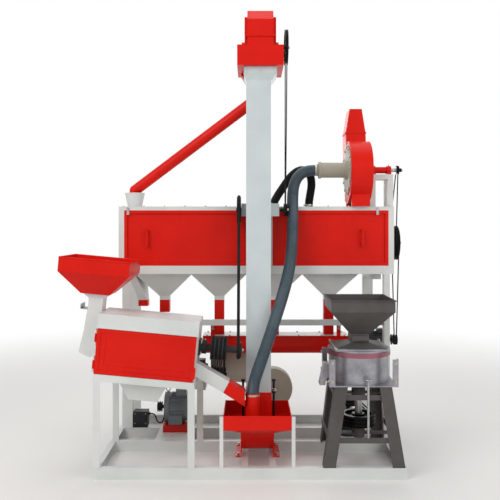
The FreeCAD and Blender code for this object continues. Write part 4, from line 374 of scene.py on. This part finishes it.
# Suction hose: black ribbed rubber hose that arches from one air spigot on the grader's lid to the other.
# It stands behind the grain hose and the fan's inlet pipe, and each end is pushed over its spigot.
SUCTION_RADIUS = 0.0315
SUCTION_GROOVE = 0.0022
SUCTION_PITCH = 0.008
SUCTION_Y = 0.160
SUCTION_POINTS = [(x, SUCTION_Y, z) for x, z in (
    (0.177, 1.7745), (0.177, 1.802), (0.214, 1.866), (0.262, 1.938), (0.318, 2.018), (0.392, 2.062),
    (0.456, 2.028), (0.470, 1.945), (0.455, 1.860), (0.446, 1.802), (0.446, 1.7745))]
arch, arch_line = ribbed_hose("suction_hose", SUCTION_POINTS, SUCTION_RADIUS, SUCTION_GROOVE,
                              SUCTION_PITCH, belt_rubber)

# Motor lead: black rubber cable, round and of even thickness. It hangs in a short loop from the starter box
# to the end bell of the grey motor.
LEAD_RADIUS = 0.005
LEAD_POINTS = [(x / 1000, y / 1000, z / 1000) for x, y, z in (
    (-773.5, 285, 170), (-748, 285, 169), (-733, 284, 149), (-727, 282, 123), (-711, 278, 102),
    (-687, 272, 102), (-671, 266, 122), (-667, 259, 148), (-649.8, 250, 168))]
lead = route_of(LEAD_POINTS, "motor_lead_cable")
lead.data.bevel_depth = LEAD_RADIUS
lead.data.bevel_resolution = 4
lead.data.use_fill_caps = True
lead.data.materials.append(belt_rubber)
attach(lead, "root")
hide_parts("motor_lead")


def join_as(pieces, name, material, body="root"):
    """Several meshes made into one piece."""
    bpy.ops.object.select_all(action="DESELECT")
    for piece in pieces:
        piece.select_set(True)
    bpy.context.view_layer.objects.active = pieces[0]
    if len(pieces) > 1:
        bpy.ops.object.join()
    return finish_piece(bpy.context.object, name, material, body)


def hex_head(width, tall, washer):
    """One hexagon head with its top corners turned off, on a round washer, standing up from the origin."""
    bpy.ops.object.select_all(action="DESELECT")
    bpy.ops.mesh.primitive_cylinder_add(vertices=6, radius=width / math.sqrt(3), depth=tall,
                                        location=(0, 0, washer + tall / 2))
    head = bpy.context.object
    bpy.ops.object.transform_apply(location=True)
    bpy.ops.object.mode_set(mode="EDIT")
    bpy.ops.mesh.select_all(action="DESELECT")
    mesh = bmesh.from_edit_mesh(head.data)
    for face in mesh.faces:
        face.select = face.calc_center_median().z > washer + tall * 0.9
    bmesh.update_edit_mesh(head.data)
    bpy.ops.mesh.bevel(offset=width * 0.08, segments=1)
    bpy.ops.object.mode_set(mode="OBJECT")
    bpy.ops.mesh.primitive_cylinder_add(vertices=20, radius=width * 0.78, depth=washer,
                                        location=(0, 0, washer / 2))
    bpy.ops.object.transform_apply(location=True)
    head.select_set(True)
    bpy.context.view_layer.objects.active = head
    bpy.ops.object.join()
    return head


def bolt_row(name, spots, along, width, material, body="root", tall=None, washer=0.0015):
    """The same head at each spot, all standing out along one direction, as one piece."""
    first = hex_head(width, tall or width * 0.62, washer)
    turn = Vector(along).to_track_quat("Z", "Y").to_euler()
    copies = [first]
    for _ in spots[1:]:
        copy = first.copy()
        copy.data = first.data.copy()
        bpy.context.collection.objects.link(copy)
        copies.append(copy)
    for copy, spot in zip(copies, spots):
        copy.location = spot
        copy.rotation_euler = turn
    return join_as(copies, name, material, body)


# Zinc-plated hexagon bolts and nuts: pale yellowish steel with a soft shine. Their widths across the flats
# are those of spanners from 6 mm to 30 mm.
HEX_6, HEX_8, HEX_10, HEX_13 = 0.006, 0.008, 0.010, 0.013
HEX_15, HEX_17, HEX_19, HEX_30 = 0.015, 0.017, 0.019, 0.030
UP, LEFT, RIGHT, FORWARD = (0, 0, 1), (-1, 0, 0), (1, 0, 0), (0, -1, 0)
zinc_plate, *_ = bare_metal("zinc_plated_steel", "C2C0B6", "9A988E", (0.3, 0.45), 0.006)

# Bolts that hold the fan: twelve on the rim of its inlet plate, and two through the foot of its stand.
FAN_X, FAN_Y, FAN_Z = 0.722, 0.040, 2.041
FAN_WIDE = 0.150
FAN_RIM = 0.168
GRADER_LID = 1.7693
rim_spots = [(FAN_X - 0.0053, FAN_Y + FAN_RIM * math.cos(math.radians(a)),
              FAN_Z + FAN_RIM * math.sin(math.radians(a))) for a in range(0, 360, 30)]
bolt_row("fan_plate_bolts", rim_spots, LEFT, HEX_17, zinc_plate, tall=0.0065)
bolt_row("fan_stand_bolts", [(x, FAN_Y, GRADER_LID + 0.006) for x in (0.896, 1.025)], UP, HEX_17,
         zinc_plate)

# Nuts on the studs of the flange bearings at both ends of the grader's drum.
DRUM_Y, DRUM_Z = 0.200, 1.500
STUD = 0.0324
square = [(a * STUD, b * STUD) for a in (-1, 1) for b in (-1, 1)]
LEFT_FLANGE_X, RIGHT_FLANGE_X = -0.9653, 1.0573
bolt_row("grader_left_bearing_nuts", [(LEFT_FLANGE_X, DRUM_Y + a, DRUM_Z + b) for a, b in square], LEFT,
         HEX_19, zinc_plate, tall=0.005, washer=0.001)
bolt_row("grader_right_bearing_nuts", [(RIGHT_FLANGE_X, DRUM_Y + a, DRUM_Z + b) for a, b in square], RIGHT,
         HEX_19, zinc_plate, tall=0.005, washer=0.001)

# The dehusker's own frame is tilted down to the right, and so are the nuts of its bearing.
TILT = math.radians(5.2)
HUSKER = Vector((-1.005, FRONT, 0.679))
HUSKER_ALONG = (math.cos(TILT), 0, -math.sin(TILT))
HUSKER_UP = (math.sin(TILT), 0, math.cos(TILT))


def in_husker(x, y, z):
    """A place in the dehusker's tilted frame, in the machine's."""
    return HUSKER + Vector((x * math.cos(TILT) + z * math.sin(TILT), y,
                            z * math.cos(TILT) - x * math.sin(TILT)))


ROLLER_Y, ROLLER_Z = 0.160, 0.208
ROLLER_FLANGE_X = 0.6643
ROLLER_STUD = 1.11
bolt_row("roller_bearing_nuts", [in_husker(ROLLER_FLANGE_X, ROLLER_Y + a * ROLLER_STUD,
                                           ROLLER_Z + b * ROLLER_STUD) for a, b in square],
         HUSKER_ALONG, HEX_19, zinc_plate, tall=0.005, washer=0.001)

# Bolts through the feet of the elevator's boot into the cross members.
BOOT_X, BOOT_HALF, LEG_X, LEG_Y = 0.050, 0.1065, 0.058, -0.280
BOOT_FOOT_TOP = 0.081
bolt_row("boot_foot_bolts", [(BOOT_X + s * (BOOT_HALF + 0.024), LEG_Y + t * 0.105, BOOT_FOOT_TOP)
                             for s in (-1, 1) for t in (-1, 1)], UP, HEX_19, zinc_plate)

# Lock nuts on the two belt-tension screws beside the leg.
bolt_row("take_up_nuts", [(LEG_X + s * 0.106, LEG_Y, 0.489) for s in (-1, 1)], UP, HEX_30, zinc_plate,
         tall=0.014, washer=0.002)

# Bolts that hang the screw trough from its tie bar, and screws round its lid.
TROUGH_LEFT, TROUGH_Y, TROUGH_TOP = -0.350, 0.120, 0.815
HANGER_FRONT = 0.028
bolt_row("trough_hanger_bolts", [(x, HANGER_FRONT, z) for x in (-0.275, 0.655) for z in (0.870, 0.892)],
         FORWARD, HEX_13, zinc_plate)
bolt_row("trough_lid_screws", [(TROUGH_LEFT + 0.03 + i * 0.17, TROUGH_Y + y, TROUGH_TOP + 0.002)
                               for i in range(7) for y in (-0.079, 0.083)], UP, HEX_10, zinc_plate)

# Screws along the edge of the grader's lid.
bolt_row("grader_lid_screws", [(-0.92 + i * 0.149, y, GRADER_LID - 0.0003)
                               for i in range(14) for y in (-0.042, 0.562)], UP, HEX_10, zinc_plate)

# Bolts of the stone mill: four through its cover, and two in each front corner angle.
MILL_X, MILL_Y, MILL_COVER = 0.733, -0.380, 0.823
COVER_BOLT, ANGLE_BOLT, ANGLE_FACE = 0.172, 0.204, 0.2225
ANGLE_BOLTS_Z = (0.622, 0.742)
bolt_row("mill_cover_bolts", [(MILL_X + a * COVER_BOLT, MILL_Y + b * COVER_BOLT, MILL_COVER)
                              for a in (-1, 1) for b in (-1, 1)], UP, HEX_13, zinc_plate)
bolt_row("mill_front_angle_bolts", [(MILL_X + a * ANGLE_BOLT, MILL_Y - ANGLE_FACE, z)
                                    for a in (-1, 1) for z in ANGLE_BOLTS_Z], FORWARD, HEX_15, zinc_plate)
bolt_row("mill_side_angle_bolts", [(MILL_X - ANGLE_FACE, MILL_Y + b * ANGLE_BOLT, z)
                                   for b in (-1, 1) for z in ANGLE_BOLTS_Z], LEFT, HEX_15, zinc_plate)


def bead(name, runs, radius, material, body="root", rough=0.0):
    """Round bead along each run of points: a rolled edge, or a weld if rough is above 0."""
    pieces = []
    for run in runs:
        curve = bpy.data.curves.new(name, "CURVE")
        curve.dimensions = "3D"
        curve.bevel_depth = radius
        curve.bevel_resolution = 2
        curve.use_fill_caps = True
        spline = curve.splines.new("POLY")
        spline.points.add(len(run) - 1)
        for point, place in zip(spline.points, run):
            point.co = (*place, 1)
        spline.use_cyclic_u = (Vector(run[0]) - Vector(run[-1])).length < 1e-6
        made = bpy.data.objects.new(name, curve)
        bpy.context.collection.objects.link(made)
        pieces.append(made)
    bpy.ops.object.select_all(action="DESELECT")
    for piece in pieces:
        piece.select_set(True)
    bpy.context.view_layer.objects.active = pieces[0]
    bpy.ops.object.convert(target="MESH")
    pieces = list(bpy.context.selected_objects)
    made = join_as(pieces, name, material, body)
    if rough:
        lumps = bpy.data.textures.new(name + "_lumps", "CLOUDS")
        lumps.noise_scale = radius * 2.2
        swell = made.modifiers.new("lumps", "DISPLACE")
        swell.texture = lumps
        swell.texture_coords = "LOCAL"
        swell.strength = rough
        swell.mid_level = 0.5
        bpy.ops.object.modifier_apply(modifier="lumps")
    bpy.ops.object.shade_smooth_by_angle(angle=math.radians(60))
    return made


def line_of(start, end, step):
    """Points from start to end, about that far apart."""
    start, end = Vector(start), Vector(end)
    count = max(1, round((end - start).length / step))
    return [start.lerp(end, i / count) for i in range(count + 1)]


def frame_of(low, high, z):
    """The four corners of a level rectangle, back to the first."""
    return [(low[0], low[1], z), (high[0], low[1], z), (high[0], high[1], z), (low[0], high[1], z),
            (low[0], low[1], z)]


# Wired rim of the red feed hopper: the sheet is rolled over a wire round the mouth, which stiffens it.
rim = [in_husker(x, y, 0.7293) for x, y, _ in frame_of((-0.2735, -0.040), (0.1775, 0.360), 0)]
bead("feed_hopper_rim", [rim], 0.0045, red_enamel)

# Hemmed rim of the feed tray at the foot of the elevator, rolled outward.
tray_low, tray_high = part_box("feed_tray")
tray_left, tray_right, tray_front = tray_low[0], tray_high[0], tray_low[1]
TRAY_BACK, TRAY_TOP, HEM_INSET = -0.220, 0.405, 0.002
near, left, right = tray_front + HEM_INSET, tray_left + HEM_INSET, tray_right - HEM_INSET
bead("feed_tray_rim", [[(left, TRAY_BACK, TRAY_TOP), (left, near, TRAY_TOP), (right, near, TRAY_TOP),
                        (right, TRAY_BACK, TRAY_TOP)]], 0.0042, red_enamel)

# Rim wire of the mill's hopper.
MILL_RIM = 0.2110
rim = frame_of((MILL_X - MILL_RIM, MILL_Y - MILL_RIM), (MILL_X + MILL_RIM, MILL_Y + MILL_RIM), 1.1415)
bead("mill_hopper_rim", [rim], 0.0035, mill_enamel)

# Folded seams of the fan's scroll, where the round wrapper is closed onto both side plates.
# The wrapper's radius grows evenly by turn, and the outlet stands where the first four points would be.
SCROLL_START, SCROLL_TURN = -20, 23
SCROLL_NEAR, SCROLL_GROWTH = 0.188, 0.066
SCROLL_POINTS = 15
seams = []
for x in (FAN_X + 0.002, FAN_X + FAN_WIDE - 0.002):
    turns = [math.radians(SCROLL_START + i * SCROLL_TURN) for i in range(SCROLL_POINTS)]
    reach = [SCROLL_NEAR + SCROLL_GROWTH * i / (SCROLL_POINTS - 1) for i in range(SCROLL_POINTS)]
    seams.append([(x, FAN_Y + r * math.cos(t), FAN_Z + r * math.sin(t)) for t, r in zip(turns, reach)][4:])
smooth_seams = []
for seam in seams:
    route = route_of(seam, "seam_route")
    smooth_seams.append(points_along(route))
    bpy.data.objects.remove(route)
bead("fan_scroll_seams", smooth_seams, 0.005, red_enamel)

# Weld beads where the posts stand on the base and where the base's corners meet, painted over in white.
WELD, WELD_STEP = 0.0032, 0.004
POST_LEFT, POST_RIGHT, GUSSET_LEFT = (-1.008, -0.400), (-0.965, -0.357), (-0.195, 0.2675)
CORNER_WELD_Z, RAIL_WELD_Z = 0.0755, 0.0765


def level_weld(start, end, z):
    """The points of one straight weld between two places (x, y) at one height."""
    return line_of((*start, z), (*end, z), WELD_STEP)


welds = [level_weld((x + 0.002, FRONT - 0.0005), (x + 0.043, FRONT - 0.0005), CORNER_WELD_Z)
         for x in POST_LEFT]
welds += [level_weld((x + 0.002, FRONT + 0.003), (x + 0.002, FRONT + 0.044), RAIL_WELD_Z)
          for x in POST_RIGHT]
welds += [level_weld((x, FRONT + 0.0015), (x + 0.022, FRONT + 0.0015), RAIL_WELD_Z) for x in GUSSET_LEFT]
welds += [level_weld((x, y), (x + 0.036, y), CORNER_WELD_Z)
          for y in (FRONT + 0.0395, 0.5805) for x in (-1.006, 0.968)]
welds.append(level_weld((-0.981, 0.2295), (-0.905, 0.2295), RAIL_WELD_Z))
welds.append(level_weld((0.970, -0.0905), (1.004, -0.0905), RAIL_WELD_Z))
bead("base_frame_welds", welds, WELD, white_enamel, rough=0.0022)

# Weld beads at the corners of the grader's frame, inside each opening.
GRADER_FACE, SILL_Z, LINTEL_Z = -0.0605, 1.3395, 1.7405
welds = []
for x0, x1 in ((-0.913, -0.022), (0.163, 1.005)):
    for z in (SILL_Z, LINTEL_Z):
        for x, way in ((x0, 1), (x1, -1)):
            welds.append(line_of((x, GRADER_FACE, z), (x + way * 0.001, GRADER_FACE, z), 0.001))
for x0, x1 in ((-0.953, -0.9135), (-0.0215, 0.018), (0.123, 0.1625), (1.0055, 1.045)):
    welds.append(level_weld((x0, GRADER_FACE), (x1, GRADER_FACE), SILL_Z))
bead("grader_frame_welds", welds, 0.0026, white_enamel, rough=0.0018)


def band_clamp(name, place, along, radius):
    """Worm-drive hose band: a rolled strip round the hose, with its screw housing and screw beside it."""
    turn = Vector(along).to_track_quat("Z", "Y").to_euler()
    bpy.ops.object.select_all(action="DESELECT")
    bpy.ops.mesh.primitive_cylinder_add(vertices=48, radius=radius + 0.0012, depth=0.012,
                                        end_fill_type="NOTHING")
    strip = bpy.context.object
    bpy.ops.object.mode_set(mode="EDIT")
    bpy.ops.mesh.select_all(action="SELECT")
    bpy.ops.mesh.solidify(thickness=0.001)
    bpy.ops.object.mode_set(mode="OBJECT")
    bpy.ops.mesh.primitive_cylinder_add(vertices=16, radius=0.0052, depth=0.020,
                                        rotation=(math.pi / 2, 0, 0), location=(radius + 0.0058, 0, 0))
    housing = bpy.context.object
    bpy.ops.object.mode_set(mode="EDIT")
    bpy.ops.mesh.select_all(action="SELECT")
    bpy.ops.mesh.bevel(offset=0.0008, segments=2)
    bpy.ops.object.mode_set(mode="OBJECT")
    bpy.ops.mesh.primitive_cylinder_add(vertices=6, radius=0.0046, depth=0.007,
                                        rotation=(math.pi / 2, 0, 0),
                                        location=(radius + 0.0058, -0.0128, 0))
    screw = bpy.context.object
    for piece in (strip, housing, screw):
        piece.select_set(True)
    bpy.context.view_layer.objects.active = strip
    bpy.ops.object.join()
    clamp = bpy.context.object
    bpy.ops.object.transform_apply(location=True, rotation=True)
    clamp.rotation_euler = turn
    clamp.location = place
    return join_as([clamp], name, zinc_plate)


# Worm-drive bands that hold the hose on the fan's spigot and close the sleeve round its lower end.
band_clamp("hose_upper_band", (0.486, HOSE_POINTS[0][1], HOSE_POINTS[0][2]), RIGHT, 0.0412)
band_clamp("hose_lower_band", (0.018, HOSE_POINTS[-1][1], 0.508), UP, 0.0464)

# Air spigots of the suction hose: spun steel flanges on the grader's lid, white like the lid, with a short
# neck that the hose is pushed over and a band round each end.
SPIGOT_FLANGE = 0.045
SPIGOT_NECK = 0.0285
spigots = []
for x in (SUCTION_POINTS[0][0], SUCTION_POINTS[-1][0]):
    bpy.ops.object.select_all(action="DESELECT")
    bpy.ops.mesh.primitive_cylinder_add(vertices=48, radius=SPIGOT_FLANGE, depth=0.003,
                                        location=(x, SUCTION_Y, GRADER_LID + 0.0015))
    spigot = bpy.context.object
    bpy.ops.object.mode_set(mode="EDIT")
    bpy.ops.mesh.select_all(action="DESELECT")
    shape = bmesh.from_edit_mesh(spigot.data)
    for face in shape.faces:
        face.select = face.calc_center_median().z > 0.001
    bmesh.update_edit_mesh(spigot.data)
    bpy.ops.mesh.inset(thickness=SPIGOT_FLANGE - SPIGOT_NECK)
    bpy.ops.mesh.extrude_region_move(TRANSFORM_OT_translate={"value": (0, 0, 0.030)})
    bpy.ops.mesh.inset(thickness=0.002)
    bpy.ops.mesh.extrude_region_move(TRANSFORM_OT_translate={"value": (0, 0, -0.029)})
    bpy.ops.object.mode_set(mode="OBJECT")
    spigots.append(spigot)
join_as(spigots, "suction_spigots", white_enamel)
bpy.ops.object.shade_smooth_by_angle(angle=math.radians(40))
BAND_Z = GRADER_LID + 0.017
band_clamp("suction_left_band", (SUCTION_POINTS[0][0], SUCTION_Y, BAND_Z), UP, SUCTION_RADIUS + 0.0003)
band_clamp("suction_right_band", (SUCTION_POINTS[-1][0], SUCTION_Y, BAND_Z), UP, SUCTION_RADIUS + 0.0003)


def corner_seams(low, low_z, high, high_z, step=0.006):
    """The four sloping corner lines between two level rectangles ((x0, y0), (x1, y1))."""
    corners = [(0, 0), (1, 0), (1, 1), (0, 1)]
    return [line_of((low[a][0], low[b][1], low_z), (high[a][0], high[b][1], high_z), step)
            for a, b in corners]


# Welded corner seams of the hoppers: each cone is four plates, welded up the corners and painted over.
GRADER_BOTTOM = 1.2787
SPOUT_HALF = 0.036
HOPPERS_LEFT, HOPPERS_RIGHT, HOPPER_PITCH = -0.843, 1.005, 0.409
welds = []
for index in range(4):
    x0 = HOPPERS_LEFT + index * HOPPER_PITCH
    x1 = min(x0 + HOPPER_PITCH, HOPPERS_RIGHT)
    mid = (x0 + x1) / 2
    welds += corner_seams(((mid - SPOUT_HALF, 0.084), (mid + SPOUT_HALF, 0.156)), GRADER_BOTTOM - 0.172,
                          ((x0 + 0.001, -0.015), (x1 - 0.001, 0.535)), GRADER_BOTTOM - 0.002)
bead("grader_hopper_seams", welds, 0.0018, white_enamel, rough=0.0012)

husker_neck, husker_mouth = ((-0.140, 0.068), (0.044, 0.252)), ((-0.2735, -0.040), (0.1775, 0.360))
HUSKER_NECK_Z, HUSKER_CONE_Z, HUSKER_MOUTH_Z = 0.5005, 0.6393, 0.725
welds = [[in_husker(*p) for p in run] for run in
         corner_seams(husker_neck, HUSKER_NECK_Z, husker_mouth, HUSKER_CONE_Z) +
         corner_seams(husker_mouth, HUSKER_CONE_Z, husker_mouth, HUSKER_MOUTH_Z)]
bead("feed_hopper_seams", welds, 0.0018, red_enamel, rough=0.0012)

mill_neck = ((MILL_X - 0.061, MILL_Y - 0.061), (MILL_X + 0.061, MILL_Y + 0.061))
mill_mouth = ((MILL_X - 0.205, MILL_Y - 0.205), (MILL_X + 0.205, MILL_Y + 0.205))
MILL_NECK_Z, MILL_CONE_Z, MILL_MOUTH_Z = 0.906, 1.068, 1.138
welds = corner_seams(mill_neck, MILL_NECK_Z, mill_mouth, MILL_CONE_Z)
welds += corner_seams(mill_mouth, MILL_CONE_Z, mill_mouth, MILL_MOUTH_Z)
bead("mill_hopper_seams", welds, 0.0018, mill_enamel, rough=0.0012)

# Hinge pins of the dehusker's door: steel rod pushed down through the knuckles, its top end turned over.
PIN = 0.003
HINGE_X, HINGE_Y = -0.007, 0.010
for index, low in enumerate((0.0135, 0.1855)):
    foot, top = in_husker(HINGE_X, HINGE_Y, low - 0.003), in_husker(HINGE_X, HINGE_Y, low + 0.097)
    bend = in_husker(HINGE_X, 0.0245, low + 0.100)
    bead("door_hinge_pin_%d" % (index + 1), [[foot, top, bend]], PIN, bright_steel)

# Lifting eye of the grey motor: a forged ring on a collar, screwed into the top of the body.
EYE_X, EYE_Y, EYE_Z = -0.628, 0.226, 0.3535
bpy.ops.object.select_all(action="DESELECT")
bpy.ops.mesh.primitive_torus_add(location=(EYE_X, EYE_Y, EYE_Z + 0.024), rotation=(math.pi / 2, 0, 0),
                                 major_radius=0.0145, minor_radius=0.0042, major_segments=32,
                                 minor_segments=12)
ring = bpy.context.object
bpy.ops.mesh.primitive_cylinder_add(vertices=24, radius=0.011, depth=0.010,
                                    location=(EYE_X, EYE_Y, EYE_Z + 0.0035))
collar = bpy.context.object
bpy.ops.object.mode_set(mode="EDIT")
bpy.ops.mesh.select_all(action="SELECT")
bpy.ops.mesh.bevel(offset=0.0015, segments=2)
bpy.ops.object.mode_set(mode="OBJECT")
join_as([ring, collar], "motor_lifting_eye", zinc_plate)
bpy.ops.object.shade_smooth_by_angle(angle=math.radians(40))

# Screws of the grey motor's terminal box and of the starter box's front.
MOTOR_X, MOTOR_Y, TERMINAL_TOP = -0.564, 0.226, 0.3844
STARTER_FRONT = 0.232
bolt_row("terminal_box_screws", [(MOTOR_X + x, MOTOR_Y + y, TERMINAL_TOP)
                                 for x in (0.010, 0.068) for y in (-0.044, 0.044)], UP, HEX_8, zinc_plate)
bolt_row("starter_box_screws", [(x, STARTER_FRONT, z) for x in (-0.886, -0.804) for z in (0.108, 0.182)],
         FORWARD, HEX_6, zinc_plate)


def grease_nipples(name, spots, along, body="root"):
    """Grease nipple: a hexagon foot, a waist and a small ball end, turned from brass-plated steel."""
    made = []
    for spot in spots:
        bpy.ops.object.select_all(action="DESELECT")
        bpy.ops.mesh.primitive_cylinder_add(vertices=6, radius=0.0052, depth=0.004, location=(0, 0, 0.002))
        foot = bpy.context.object
        bpy.ops.object.mode_set(mode="EDIT")
        bpy.ops.mesh.select_all(action="DESELECT")
        shape = bmesh.from_edit_mesh(foot.data)
        for face in shape.faces:
            face.select = face.calc_center_median().z > 0.0015
        bmesh.update_edit_mesh(foot.data)
        for rise, scale in ((0.0, 0.5), (0.004, 1.0), (0.001, 1.35), (0.0015, 1.0), (0.001, 0.6)):
            if rise == 0.0:
                bpy.ops.mesh.inset(thickness=0.0022)
            else:
                bpy.ops.mesh.extrude_region_move(TRANSFORM_OT_translate={"value": (0, 0, rise)})
                bpy.ops.transform.resize(value=(scale, scale, 1))
        bpy.ops.object.mode_set(mode="OBJECT")
        bpy.ops.object.transform_apply(location=True)
        foot.rotation_euler = Vector(along).to_track_quat("Z", "Y").to_euler()
        foot.location = spot
        made.append(foot)
    return join_as(made, name, zinc_plate, body)


# Grease nipples on the bearings that run all day.
JACK_Y, JACK_Z = -0.168, 1.741
grease_nipples("fan_bearing_nipples", [(x, FAN_Y, FAN_Z + 0.0305) for x in (0.911, 1.025)], UP)
grease_nipples("jackshaft_bearing_nipples", [(x, JACK_Y, JACK_Z + 0.0255) for x in (-0.034, 0.170)], UP)
ROLLER_HOUSING_TOP = 0.2525
grease_nipples("roller_bearing_nipple", [in_husker(0.690, ROLLER_Y, ROLLER_HOUSING_TOP)], HUSKER_UP)

# Screws that keep the pulleys on their shaft ends. Each turns with its shaft.
END_SCREW = 0.016
SHEAVE_END, SIEVE_END, FAN_END, ROLLER_END = 0.264, 1.145, 1.120, 0.938
HEAD_SHAFT_Z = 2.862
for name, spot, along, body in (
        ("head_shaft_end_screw", (SHEAVE_END, LEG_Y, HEAD_SHAFT_Z), RIGHT, "head_shaft"),
        ("jackshaft_end_screw", (SHEAVE_END, JACK_Y, JACK_Z), RIGHT, "jackshaft"),
        ("sieve_shaft_end_screw", (SIEVE_END, DRUM_Y, DRUM_Z), RIGHT, "sieve"),
        ("fan_shaft_end_screw", (FAN_END, FAN_Y, FAN_Z), RIGHT, "fan"),
        ("roller_shaft_end_screw", in_husker(ROLLER_END, ROLLER_Y, ROLLER_Z), HUSKER_ALONG,
         "dehusker_rotor")):
    bolt_row(name, [spot], along, END_SCREW, zinc_plate, body, tall=0.008, washer=0.002)
